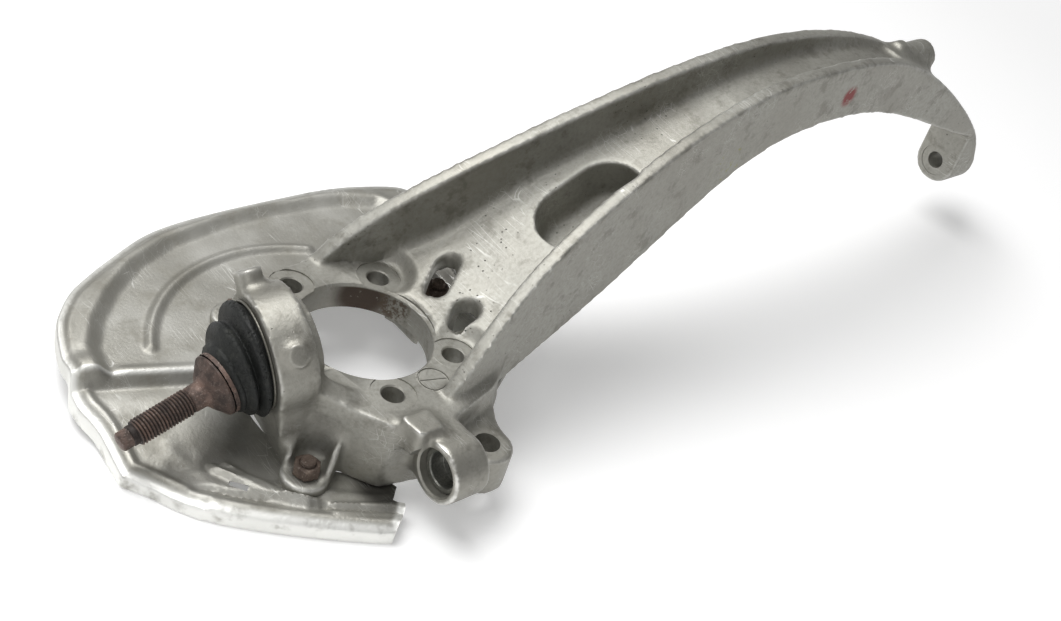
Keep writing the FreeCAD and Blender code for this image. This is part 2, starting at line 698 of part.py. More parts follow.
def hook_end():
    boss = cylinder(
        "tip_boss", "Sizes.tip_boss_d", "Sizes.tip_along - Sizes.tip_boss_start",
        ("Sizes.tip_boss_start", "0", "Sizes.tip_boss_z"), ALONG_X,
    )
    line_boss = cylinder(
        "line_boss", "Sizes.line_boss_d", "Sizes.line_boss_end - Sizes.line_boss_start",
        ("Sizes.line_boss_start", "Sizes.line_boss_y", "Sizes.line_boss_z"), ALONG_X,
    )
    block = box(
        "line_block",
        ("Sizes.line_boss_start - Sizes.line_block_start + 6", "Sizes.line_block_w", "Sizes.line_boss_d"),
        (
            "Sizes.line_block_start",
            "Sizes.line_boss_y - Sizes.line_block_w / 2",
            "Sizes.line_boss_z - Sizes.line_boss_d / 2 + 4",
        ),
    )
    chamfered = doc.addObject("Part::Chamfer", "line_block_chamfered")
    chamfered.Base = block
    doc.recompute()
    top = size("line_boss_z") + size("line_boss_d") / 2
    edges = []
    for number, edge in enumerate(block.Shape.Edges, start=1):
        if edge.CenterOfMass.z > top and edge.CenterOfMass.x < size("line_block_start") + 12:
            edges.append((number, size("line_chamfer"), size("line_chamfer")))
    chamfered.Edges = edges
    return [boss, line_boss, chamfered]


def stadium(name, length, width, depth):
    """A round-ended pocket cutter, upright about the origin, its top well above its mouth."""
    half = (length - width) / 2
    middle = Part.makeBox(2 * half, width, depth + 40, Vector(-half, -width / 2, -depth))
    ends = [Part.makeCylinder(width / 2, depth + 40, Vector(side * half, 0, -depth)) for side in (-1, 1)]
    return middle.fuse(ends)


def dish(grow, depth, high):
    """The leaning pocket in the web, or the cup round it."""
    shape = stadium("dish", size("dish_len") + 2 * grow, size("dish_w") + 2 * grow, depth)
    keep = Part.makeBox(REACH, REACH, REACH, Vector(-REACH / 2, -REACH / 2, high - REACH))
    shape = shape.common(keep)
    place = Vector(size("dish_x"), size("dish_y"), size("dish_z"))
    shape.Placement = Placement(place, Rotation(Vector(0, 1, 0), -size("dish_slope")))
    return shape


def hub_bolt_holes():
    """The four bolt holes, each with a spot face and room for the bolt's head behind the flange."""
    radius = size("bolt_circle_d") / 2
    tools = []
    for number, angle in enumerate(BOLT_ANGLES):
        x = str(radius * math.cos(math.radians(angle)))
        y = str(radius * math.sin(math.radians(angle)))
        rows = [
            ("bolt_hole", "Sizes.bolt_d", "100", "-60"),
            ("spot", "Sizes.spot_d", "Sizes.spot_depth + 1", "-Sizes.spot_depth"),
            ("head_room", "Sizes.head_room_d", "60", "-Sizes.flange_t - 60"),
        ]
        for name, diameter, height, bottom in rows:
            tools.append(cylinder("%s_%d" % (name, number), diameter, height, (x, y, bottom)))
    return tools


def sensor_slot():
    start = Vector(size("slot_start_x"), size("slot_start_y"), 0)
    end = Vector(size("slot_end_x"), size("slot_end_y"), 0)
    slot = stadium("slot", (end - start).Length + size("slot_w"), size("slot_w"), 40)
    turn = math.degrees(math.atan2(end.y - start.y, end.x - start.x))
    slot.Placement = Placement((start + end) * 0.5, Rotation(Vector(0, 0, 1), turn))
    return solid("sensor_slot", slot)


def mould_mark():
    """A round groove with a bar across it, left by the casting mould."""
    radius = size("gate_d") / 2
    groove = size("gate_groove")
    ring = Part.makeCylinder(radius, 5).cut(Part.makeCylinder(radius - groove, 5))
    mark = ring.fuse(Part.makeBox(2 * radius, groove, 5, Vector(-radius, 0, 0)))
    place = Vector(size("gate_x"), size("gate_y"), -groove)
    mark.Placement = Placement(place, Rotation(Vector(0, 0, 1), 20))
    return solid("mould_mark", mark)


def hub_holes():
    """Bore with its relief, bolt holes, sensor slot, egg-shaped hole and mould mark."""
    big = Vector(size("egg_big_x"), size("egg_big_y"), -40)
    small = Vector(size("egg_small_x"), size("egg_small_y"), -40)
    relief_d = "Sizes.hub_bore_d + 2 * Sizes.bore_relief"
    tools = [
        cylinder("hub_bore", "Sizes.hub_bore_d", "160", ("0", "0", "-80")),
        cylinder("bore_relief", relief_d, "80", ("0", "0", "0")),
        sensor_slot(),
        solid("egg_hole", egg(big, size("egg_big_r"), small, size("egg_small_r"))),
        mould_mark(),
    ]
    return tools + hub_bolt_holes()


def egg(big, big_r, small, small_r):
    """Two rounds joined by their outer tangents."""
    along = small - big
    length = along.Length
    along.normalize()
    across = Vector(-along.y, along.x, 0)
    lean = (big_r - small_r) / length
    side = math.sqrt(1 - lean * lean)
    corners = []
    rounds = [(big, big_r, 1), (small, small_r, 1), (small, small_r, -1), (big, big_r, -1)]
    for centre, radius, sign in rounds:
        corners.append(centre + along * (radius * lean) + across * (sign * radius * side))
    middle = Part.Face(Part.makePolygon(corners + corners[:1])).extrude(Vector(0, 0, 80))
    return middle.fuse([Part.makeCylinder(big_r, 80, big), Part.makeCylinder(small_r, 80, small)])


def joint_bores():
    """Seat bore, mouth, cover recess and ring groove, along the barrel."""
    back = size("cup_back")
    seat_back = size("seat_back")
    cover_back = seat_back + size("cover_t")
    bores = [
        (size("seat_d") / 2 + size("fit_gap"), -back - 30, size("seat_front") + 1),
        (size("mouth_d") / 2, 0, size("barrel_front") + 30),
        (size("cover_d") / 2 + size("fit_gap"), -back - 30, -seat_back),
        (size("cover_d") / 2 + size("ring_w") / 2, -cover_back - size("ring_t"), -cover_back),
    ]
    shapes = [Part.makeCylinder(r, end - start, Vector(0, 0, start)) for r, start, end in bores]
    shape = shapes[0].fuse(shapes[1:])
    shape.Placement = IN_BARREL
    return solid("joint_bores", shape)


def lug_holes():
    """Upright holes in the lugs, and the holes along X in the bosses."""
    upright_holes = [
        ("lug_a_bore", "Sizes.lug_bore_d", "80", ("Sizes.lug_a_x", "Sizes.lug_a_y", "-90")),
        (
            "lug_b_bore", "Sizes.lug_bore_d", "Sizes.lug_b_bore_len",
            ("Sizes.lug_b_x", "Sizes.lug_b_y", "Sizes.lug_b_low - 10"),
        ),
    ]
    for name in ("front_lug", "rear_lug", "top_lug"):
        base = ("Sizes.%s_x" % name, "Sizes.%s_y" % name, "-80")
        upright_holes.append((name + "_hole", "Sizes.screw_hole_d", "80", base))
    tie_base = ("Sizes.tie_start - 1", "Sizes.tie_y", "Sizes.tie_z")
    tip_base = ("Sizes.tip_boss_start - 10", "0", "Sizes.tip_boss_z")
    line_base = ("Sizes.line_boss_end - Sizes.line_hole_depth", "Sizes.line_boss_y", "Sizes.line_boss_z")
    cross_holes = [
        ("tie_bore", "Sizes.tie_bore_d", "Sizes.tie_len - Sizes.tie_floor_t + 1", tie_base),
        ("tie_through", "Sizes.sleeve_bore_d", "Sizes.tie_len + 2", tie_base),
        ("tip_bore", "Sizes.tip_bore_d", "60", tip_base),
        ("tip_face", "Sizes.tip_face_d", "10 + Sizes.tip_face_depth", tip_base),
        ("line_hole", "Sizes.line_hole_d", "Sizes.line_hole_depth + 2", line_base),
    ]
    tools = [cylinder(*row) for row in upright_holes]
    return tools + [cylinder(*row, ALONG_X) for row in cross_holes]


def front_trim():
    """Everything in front of the barrel's face goes, so apron and skirts end flush with it."""
    slab = Part.makeBox(200, 200, 60, Vector(-100, -100, size("barrel_front")))
    slab.Placement = IN_BARREL
    return solid("front_trim", slab)


def make_knuckle():
    disc, web, near, far = hub_flange()
    core = joined("core", [near, barrel(), wall_shoulder(), disc, web, far])
    raw = [cut("core_trimmed", core, [front_trim()]), swan_neck()] + tie_rod_boss() + caliper_lugs()
    raw += [solid("dish_cup", dish(size("dish_wall"), size("dish_depth") + size("dish_wall"), -9))]
    for name, bottom in LUG_FLOORS:
        raw += shield_lug(name + "_lug", bottom)
    raw += lug_ribs() + hook_end()
    low = size("panel_z")
    riser = solid("top_lug_riser", plate(RISER_PLAN, 3, low, RISER_TOP))
    floor = solid("sensor_floor", plate(SENSOR_FLOOR_PLAN, 4, low, low + size("sensor_floor_t")))
    casting = fuse("casting", raw + [riser, floor])
    tools = hub_holes() + [joint_bores(), solid("dish_pocket", dish(0, size("dish_depth"), 30))]
    return cut("knuckle", casting, tools + lug_holes())


def ball_stud():
    """Ball, neck, collar, shank, thread, groove and hexagonal end, in one turned piece."""
    body = revolved("stud_shank", [
        ("0", "0"),
        ("Sizes.neck_d / 2", "0"),
        ("Sizes.neck_d / 2", "Sizes.barrel_front + 3"),
        ("Sizes.neck_end_d / 2", "Sizes.barrel_front + 12"),
        ("Sizes.neck_end_d / 2", "Sizes.collar_at"),
        ("Sizes.collar_d / 2", "Sizes.collar_at"),
        ("Sizes.collar_d / 2", "Sizes.collar_at + Sizes.collar_rim"),
        ("Sizes.collar_end_d / 2", "Sizes.collar_at + Sizes.collar_rim + Sizes.collar_cone"),
        ("Sizes.shank_d / 2", "Sizes.collar_at + Sizes.collar_rim + Sizes.collar_cone + 1"),
        ("Sizes.shank_d / 2", "Sizes.thread_start - 1"),
        ("Sizes.thread_d / 2", "Sizes.thread_start"),
        ("Sizes.thread_d / 2", "Sizes.thread_end - 1"),
        ("Sizes.groove_d / 2", "Sizes.thread_end"),
        ("Sizes.groove_d / 2", "Sizes.thread_end + Sizes.groove_w"),
        ("0", "Sizes.thread_end + Sizes.groove_w"),
    ])
    ball = doc.addObject("Part::Sphere", "stud_ball")
    bind(ball, {"Radius": "Sizes.ball_d / 2"})
    tip = doc.addObject("Part::Prism", "stud_tip")
    tip.Polygon = 6
    bind(tip, {
        "Circumradius": "Sizes.tip_hex / 2 / cos(30)",
        "Height": "Sizes.stud_len - Sizes.thread_end - Sizes.groove_w",
        "Placement.Base.z": "Sizes.thread_end + Sizes.groove_w",
    })
    stud = fuse("ball_stud", [body, ball, tip])
    stud.Placement = ON_STUD
    return stud


def ball_seat():
    """Plastic cup, open at the front, with the ball's cavity cut in it."""
    length = "Sizes.seat_front + Sizes.seat_back"
    block = cylinder("seat_block", "Sizes.seat_d", length, ("0", "0", "-Sizes.seat_back"))
    cavity = doc.addObject("Part::Sphere", "seat_cavity")
    bind(cavity, {"Radius": "Sizes.ball_d / 2 + Sizes.fit_gap"})
    seat = cut("ball_seat", block, [cavity])
    seat.Placement = IN_BARREL
    return seat


def housing_cover():
    base = ("0", "0", "-Sizes.seat_back - Sizes.cover_t")
    cover = cylinder("cover_disc", "Sizes.cover_d", "Sizes.cover_t", base)
    dimple = cylinder("cover_dimple", "Sizes.cover_d / 3", "Sizes.cover_t / 2", base)
    piece = cut("housing_cover", cover, [dimple])
    piece.Placement = IN_BARREL
    return piece


def cover_ring():
    """Snap ring in its groove, with the gap that lets it be squeezed."""
    outer = size("cover_d") / 2 + size("ring_w") / 2 - 3 * size("fit_gap")
    back = -size("seat_back") - size("cover_t") - size("ring_t")
    ring = Part.makeCylinder(outer, size("ring_t"), Vector(0, 0, back))
    ring = ring.cut(Part.makeCylinder(outer - size("ring_w"), size("ring_t") + 2, Vector(0, 0, back - 1)))
    ring = ring.cut(Part.makeBox(outer + 5, 6, size("ring_t") + 2, Vector(0, -3, back - 1)))
    piece = solid("cover_ring", ring)
    piece.Placement = IN_BARREL
    return piece


def boot_stations():
    """Along the boot: distance from the ball, outside radius, and how far it has turned to the stud."""
    start = size("barrel_front")
    span = size("collar_at") - size("boot_gap") - start
    base = size("boot_base_d") / 2
    fold_one = size("boot_fold_one_d") / 2
    waist = size("boot_waist_d") / 2
    fold_two = size("boot_fold_two_d") / 2
    lip = size("boot_lip_d") / 2
    shares = [
        (0.0, base), (0.035, base), (0.07, base + 0.1), (0.13, fold_one - 0.4), (0.2, fold_one),
        (0.27, fold_one - 1.1), (0.343, fold_one - 4.0), (0.448, waist), (0.552, fold_two),
        (0.678, fold_two - 1.1), (0.803, lip + 2.0), (0.88, lip + 0.1), (0.94, lip), (1.0, lip),
    ]
    return [(start + share * span, radius, share * share * (3 - 2 * share)) for share, radius in shares]


def boot_circle(along, radius, turn):
    """A circle round the boot's bent centre line."""
    direction = (JOINT_AXIS * (1 - turn) + STUD_AXIS * turn).normalize()
    return Part.Wire(Part.makeCircle(radius, BALL + direction * along, direction))


def rubber_boot():
    wall = size("boot_wall")
    stations = boot_stations()
    skin = Part.makeLoft([boot_circle(*row) for row in stations], True)
    wide = [row for row in stations if row[1] > size("boot_lip_d") / 2 + 1]
    inside = [(along, radius - wall, turn) for along, radius, turn in wide]
    inside[0] = (inside[0][0] - 1, inside[0][1], 0.0)
    hollow = Part.makeLoft([boot_circle(*row) for row in inside], True)
    half = size("collar_at") / 2
    hole_r = size("neck_end_d") / 2 + size("boot_gap")
    hole = Part.makeCylinder(hole_r, half + 2, BALL + STUD_AXIS * half, STUD_AXIS)
    return solid("boot", skin.cut([hollow, hole]))


def boot_ring_large():
    wire = size("boot_ring_wire")
    radius = size("boot_base_d") / 2 + wire / 2 + size("fit_gap")
    torus = Part.makeTorus(radius, wire / 2, Vector(0, 0, size("barrel_front") + wire / 2 + size("fit_gap")))
    piece = solid("boot_ring_large", torus)
    piece.Placement = IN_BARREL
    return piece


def boot_ring_small():
    """Flat ring that holds the boot's lip on the stud, behind the collar."""
    inner = size("boot_lip_d") / 2 + 4 * size("fit_gap")
    end = size("collar_at") - size("boot_gap")
    start = end - size("lip_ring_w")
    ring = Part.makeCylinder(inner + size("lip_ring_t"), size("lip_ring_w"), Vector(0, 0, start))
    ring = ring.cut(Part.makeCylinder(inner, size("lip_ring_w") + 2, Vector(0, 0, start - 1)))
    piece = solid("boot_ring_small", ring)
    piece.Placement = ON_STUD
    return piece


def tie_rod_sleeve():
    start = "Sizes.tie_start + Sizes.sleeve_setback"
    length = "Sizes.tie_len - Sizes.tie_floor_t - Sizes.sleeve_setback"
    base = (start, "Sizes.tie_y", "Sizes.tie_z")
    bore_base = (start + " - 1", "Sizes.tie_y", "Sizes.tie_z")
    body = cylinder("sleeve_body", "Sizes.tie_bore_d", length, base, ALONG_X)
    bore = cylinder("sleeve_bore", "Sizes.sleeve_bore_d", length + " + 2", bore_base, ALONG_X)
    return cut("tie_rod_sleeve", body, [bore])


def hexagon(name, across, height, base):
    prism = doc.addObject("Part::Prism", name)
    prism.Polygon = 6
    bind(prism, {"Circumradius": "(%s) / 2 / cos(30)" % across, "Height": height})
    for letter, text in zip("xyz", base):
        prism.setExpression("Placement.Base.%s" % letter, text)
    return prism


def shield_fastener(place, floor):
    """A bolt up through the sheet and its lug, and the nut on top."""
    x = "Sizes.%s_lug_x" % place
    y = "Sizes.%s_lug_y" % place
    under = "%s - Sizes.sheet_t" % floor
    lug_top = "%s + Sizes.shield_lug_t" % floor
    length = "Sizes.sheet_t + Sizes.shield_lug_t + Sizes.nut_t + Sizes.screw_end"
    head = hexagon("head_" + place, "Sizes.nut_hex", "Sizes.head_t", (x, y, under + " - Sizes.head_t"))
    shank = cylinder("shank_" + place, "Sizes.screw_d", length, (x, y, under))
    bolt = fuse("shield_bolt_" + place, [head, shank])
    block = hexagon("nut_block_" + place, "Sizes.nut_hex", "Sizes.nut_t", (x, y, lug_top))
    thread = cylinder("nut_thread_" + place, "Sizes.screw_d", "Sizes.nut_t + 2", (x, y, lug_top + " - 1"))
    return [bolt, cut("shield_nut_" + place, block, [thread])]


# Dust shield: plan outlines of the whole far part, the recessed panel in it, the near part,
# and the room for the foot under the barrel
FAR_EDGE = [
    (-138.5, 54.2), (-138, 65), (-128.5, 88), (-119.5, 99.5), (-108.4, 109.9), (-96.4, 117.2),
    (-76.9, 126.7), (-41.4, 140.9), (-1, 145.1), (45.6, 144.7), (81.2, 142.7), (106.1, 138),
    (131, 128.7), (140, 112), (124, 76), (112, 40), (104, 6), (60, 4), (-30, 0), (-46, 23),
]
PANEL_EDGE = [
    (-119.5, 46), (-115.5, 66), (-103.5, 83), (-86, 99.7), (-62.6, 115.2), (-35, 125.6), (4.2, 131.3),
    (37.3, 131.7), (67.3, 129), (84, 126), (103, 118), (112, 104), (104, 66), (99, 40), (98, -4),
    (-30, -4), (-46, 20),
]
NEAR_EDGE = [
    (-137.5, 60), (-142, 44.5), (-142.6, 36), (-139.6, 20.9), (-142.4, -6.5), (-132.7, -19),
    (-126.3, -30.6), (-118, -41.3), (-108.5, -50.7), (-90.2, -64.8), (-69.6, -79), (-48, -92.4),
    (-39.5, -96.8), (-27.3, -88.1), (-24.2, -84.2), (-54, -64), (-48, -52), (-36, 4), (-42, 29),
]
BARREL_GAP = [
    (-72, -6), (-72, -25), (-66, -31), (-58, -34), (-48, -36), (-40, -20), (-40, 36), (-60, 36), (-64, 10),
]


def pressed_level(points, corner, top, lip):
    """One level of the sheet: the block under its outside, and the hollow under its inside."""
    thick = size("sheet_t")
    floor = size("low_panel_z") - 20
    outside = plate(points, corner, top - lip, top)
    face = Part.Face(rounded_wire([Vector(x, y, floor) for x, y in points], corner))
    inside = face.makeOffset2D(-thick).extrude(Vector(0, 0, top - thick - floor))
    return outside, inside


def sloped_level(points, corner, start, end, profile, lip):
    """A level that falls away from a straight ridge. Profile: distances from it, and heights."""
    along = (end - start).normalize()
    down = Vector(along.y, -along.x, 0)
    thick = size("sheet_t")
    floor = profile[-1][1] - 2 * lip
    middle = (start + end) * 0.5 - along * (REACH / 2)

    def slab(upper, lower):
        corners = upper + lower[::-1]
        flat = [middle + down * away + Vector(0, 0, height) for away, height in corners]
        return Part.Face(Part.makePolygon(flat + flat[:1])).extrude(along * REACH)

    skin = slab(profile, [(away, height - lip) for away, height in profile])
    under = [(away, height - thick) for away, height in profile]
    hollow = slab(under, [(under[0][0], floor), (under[-1][0], floor)])
    outline = [Vector(x, y, floor) for x, y in points]
    tall = profile[0][1] - floor + 1
    outside = plate(points, corner, floor, floor + tall)
    inside = Part.Face(rounded_wire(outline, corner)).makeOffset2D(-thick).extrude(Vector(0, 0, tall))
    return outside.common(skin), inside.common(hollow)


def pressed_bead():
    """A raised half-round bead along an arc: its outside and its hollow."""
    radius = size("bead_mid_r")
    centre = Vector(size("bead_x"), size("bead_y"), size("panel_z") - 1)
    wall = size("sheet_t")
    blocks = []
    for inset in (0, wall):
        trim = math.degrees(inset / radius)
        start = size("bead_start") + trim
        sweep = size("bead_end") - trim - start
        tube = size("bead_w") / 2 - inset
        shape = Part.makeTorus(radius, tube, Vector(0, 0, 0), Vector(0, 0, 1), 0, 360, sweep)
        shape.Placement = Placement(centre, Rotation(Vector(0, 0, 1), start))
        blocks.append(shape)
    return blocks


def recessed_panel(points, corner, top):
    """The space over the recessed panel, and the same space grown by the sheet under it."""
    thick = size("sheet_t")
    high = size("rim_step") + 2
    above = plate(points, corner, top, top + high)
    face = Part.Face(rounded_wire([Vector(x, y, top - thick) for x, y in points], corner))
    return above, face.makeOffset2D(thick).extrude(Vector(0, 0, thick + high))


def dust_shield():
    """Raised rim round a recessed panel, a near panel that falls away past a ridge, and a bead.

    The sheet is cut clear of the hub and of the foot under the ball joint's barrel.
    """
    far_z = size("panel_z")
    near_z = size("low_panel_z")
    rim_z = far_z + size("rim_step")
    ridge_start = Vector(*FAR_EDGE[0], 0)
    ridge_end = Vector(*FAR_EDGE[-1], 0)
    slope = [
        (-20, far_z), (0, far_z), (size("ridge_run"), far_z - size("ridge_drop")),
        (size("slope_run"), near_z), (REACH / 2, near_z),
    ]
    rim = pressed_level(FAR_EDGE, 22, rim_z, size("far_lip"))
    above, grown = recessed_panel(PANEL_EDGE, 18, far_z)
    levels = [
        sloped_level(NEAR_EDGE, 10, ridge_start, ridge_end, slope, size("near_lip")),
        pressed_bead(),
    ]
    outside = rim[0].cut(above).fuse([pair[0] for pair in levels])
    inside = rim[1].cut(grown).fuse([pair[1] for pair in levels])
    opening = Part.makeCylinder(size("hub_gap_d") / 2, 80, Vector(0, 0, near_z - 30))
    foot_room = plate(BARREL_GAP, 2, near_z - 30, rim_z + 1)
    tools = [inside, opening, foot_room]
    for place in ("front", "rear", "top"):
        spot = Vector(size(place + "_lug_x"), size(place + "_lug_y"), near_z - 20)
        tools.append(Part.makeCylinder(size("screw_hole_d") / 2, 60, spot))
    return solid("dust_shield", outside.cut(tools))


PIECES = [make_knuckle(), dust_shield(), ball_seat(), ball_stud(), housing_cover(), cover_ring()]
PIECES += [rubber_boot(), boot_ring_large(), boot_ring_small(), tie_rod_sleeve()]
for lug_place, lug_floor in LUG_FLOORS:
    PIECES += shield_fastener(lug_place, lug_floor)

doc.recompute()
for obj in doc.Objects:
    if "Invalid" in obj.State or "Error" in obj.State:
        raise RuntimeError("object failed: " + obj.Name)
os.makedirs("parts", exist_ok=True)
for piece in PIECES:
    piece.Label = piece.Name
    shape = piece.Shape
    if shape.isNull() or not shape.isValid():
        raise RuntimeError("shape failed: " + piece.Label)
    shape.exportStep("parts/%s.step" % piece.Label)
    box_size = shape.BoundBox
    print("%-20s solids %d  cm3 %8.2f  z %.1f to %.1f" % (
        piece.Label, len(shape.Solids), shape.Volume / 1000, box_size.ZMin, box_size.ZMax,
    ))
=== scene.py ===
import json
import math

import bmesh
import bpy
import numpy as np
from mathutils import Matrix, Vector
from mathutils import noise
from mathutils.geometry import delaunay_2d_cdt


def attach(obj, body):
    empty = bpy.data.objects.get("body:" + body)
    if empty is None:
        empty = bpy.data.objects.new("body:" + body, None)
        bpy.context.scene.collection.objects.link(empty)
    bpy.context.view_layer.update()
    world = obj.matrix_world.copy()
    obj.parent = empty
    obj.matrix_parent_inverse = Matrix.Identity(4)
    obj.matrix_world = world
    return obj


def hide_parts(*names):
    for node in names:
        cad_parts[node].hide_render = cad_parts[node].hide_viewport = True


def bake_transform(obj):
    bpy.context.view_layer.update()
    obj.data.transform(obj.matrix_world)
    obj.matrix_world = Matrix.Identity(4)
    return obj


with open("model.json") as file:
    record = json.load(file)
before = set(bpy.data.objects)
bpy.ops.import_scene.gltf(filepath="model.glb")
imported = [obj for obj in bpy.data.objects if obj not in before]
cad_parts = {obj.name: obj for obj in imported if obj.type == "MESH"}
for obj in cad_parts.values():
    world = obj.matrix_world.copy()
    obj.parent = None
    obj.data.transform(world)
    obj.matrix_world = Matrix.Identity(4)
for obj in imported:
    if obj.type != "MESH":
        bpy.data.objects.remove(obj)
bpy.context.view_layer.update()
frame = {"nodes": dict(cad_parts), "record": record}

MM = 0.001
NODES = frame["nodes"]
SEED = 7


# Helpers
def axis_vector(yaw, pitch):
    """A direction from its yaw and its drop below the hub face, in degrees."""
    turn = math.radians(yaw)
    drop = math.radians(pitch)
    return Vector((math.cos(drop) * math.cos(turn), math.cos(drop) * math.sin(turn), -math.sin(drop)))


BALL = Vector((-59.0, -1.0, 7.0))
JOINT_AXIS = axis_vector(169.0, 12.0)
STUD_AXIS = axis_vector(182.4, 18.0)


def upright(direction):
    """Columns: sideways, upward and along a direction."""
    up = (Vector((0, 0, 1)) - direction * direction.z).normalized()
    side = up.cross(direction)
    return Matrix((side, up, direction)).transposed()


def place(origin, rotation=None):
    """A 4x4 from a point in millimetres and a 3x3 rotation, giving metres."""
    matrix = Matrix.Translation(Vector(origin) * MM)
    if rotation is not None:
        matrix = matrix @ rotation.to_4x4()
    return matrix @ Matrix.Scale(MM, 4)


ON_STUD = place(BALL, upright(STUD_AXIS))
IN_MM = place((0, 0, 0))
ALONG_X = Matrix(((0, 0, 1), (0, 1, 0), (-1, 0, 0)))


def add(name, data):
    """A new object in the scene."""
    obj = bpy.data.objects.new(name, data)
    bpy.context.scene.collection.objects.link(obj)
    return obj


def new_object(name, verts, faces, matrix=None, material=None, sharp=35.0):
    """A mesh object from points and faces, its points moved into the shared frame."""
    mesh = bpy.data.meshes.new(name)
    mesh.from_pydata([tuple(v) for v in verts], [], [tuple(f) for f in faces])
    mesh.validate()
    obj = add(name, mesh)
    if matrix is not None:
        mesh.transform(matrix)
    finish_mesh(obj, sharp)
    if material is not None:
        mesh.materials.append(material)
    return obj


def finish_mesh(obj, sharp):
    """Outward normals and smooth shading with sharp edges by angle."""
    mesh = obj.data
    work = bmesh.new()
    work.from_mesh(mesh)
    bmesh.ops.remove_doubles(work, verts=work.verts, dist=1e-6)
    bmesh.ops.recalc_face_normals(work, faces=work.faces)
    limit = math.radians(sharp)
    for face in work.faces:
        face.smooth = True
    for edge in work.edges:
        edge.smooth = not (len(edge.link_faces) == 2 and edge.calc_face_angle(0.0) > limit)
    work.to_mesh(mesh)
    work.free()
    mesh.update()


def read(items, name, width, kind=float):
    """One property of mesh items, as a number array."""
    values = np.empty(len(items) * width, dtype=kind)
    items.foreach_get(name, values)
    return values.reshape(-1, width)


def write_values(mesh, name, values):
    """Keeps one number per point under a name that the materials read."""
    layer = mesh.attributes.new(name, "FLOAT", "POINT")
    layer.data.foreach_set("value", values.astype(np.float32))


def turns(steps):
    """The angles of evenly spaced points round a circle."""
    return [2 * math.pi * k / steps for k in range(steps)]


def ring(radius, height, steps):
    return [(radius * math.cos(turn), radius * math.sin(turn), height) for turn in turns(steps)]


def ring_faces(rings, steps, first=0, closed=False):
    """Quads between rings of points that are numbered one ring after another."""
    faces = []
    for row in range(rings if closed else rings - 1):
        low = first + row * steps
        high = first + (row + 1) % rings * steps
        for k in range(steps):
            n = (k + 1) % steps
            faces.append((low + k, low + n, high + n, high + k))
    return faces


def lathe(profile, steps=64, closed=False):
    """Points and faces of a (radius, height) profile about Z. Radius 0 closes an end."""
    verts = []
    faces = []
    rings = []
    for radius, height in profile:
        if radius < 1e-6:
            rings.append([len(verts)])
            verts.append((0.0, 0.0, height))
        else:
            rings.append(list(range(len(verts), len(verts) + steps)))
            verts += ring(radius, height, steps)
    pairs = list(zip(rings[:-1], rings[1:]))
    if closed:
        pairs.append((rings[-1], rings[0]))
    for low, high in pairs:
        for k in range(steps):
            n = (k + 1) % steps
            if len(low) == 1 and len(high) > 1:
                faces.append((low[0], high[n], high[k]))
            elif len(high) == 1 and len(low) > 1:
                faces.append((low[k], low[n], high[0]))
            elif len(low) > 1 and len(high) > 1:
                faces.append((low[k], low[n], high[n], high[k]))
    return verts, faces


def copy_of(node, name):
    """A free copy of a CAD node's mesh."""
    source = NODES[node]
    mesh = source.data.copy()
    mesh.name = name
    mesh.transform(source.matrix_world)
    return add(name, mesh)


def apply_modifiers(obj):
    graph = bpy.context.evaluated_depsgraph_get()
    mesh = bpy.data.meshes.new_from_object(obj.evaluated_get(graph))
    obj.modifiers.clear()
    old = obj.data
    obj.data = mesh
    bpy.data.meshes.remove(old)


def joined(name, objects):
    """One object from several, their meshes put together."""
    work = bmesh.new()
    for obj in objects:
        work.from_mesh(obj.data)
    mesh = bpy.data.meshes.new(name)
    work.to_mesh(mesh)
    work.free()
    for obj in objects:
        bpy.data.objects.remove(obj)
    return add(name, mesh)


def voxel_remeshed(obj, size):
    modifier = obj.modifiers.new("voxels", "REMESH")
    modifier.mode = "VOXEL"
    modifier.voxel_size = size * MM
    apply_modifiers(obj)


def smoothstep(low, high, value):
    share = np.clip((value - low) / (high - low), 0.0, 1.0)
    return share * share * (3.0 - 2.0 * share)


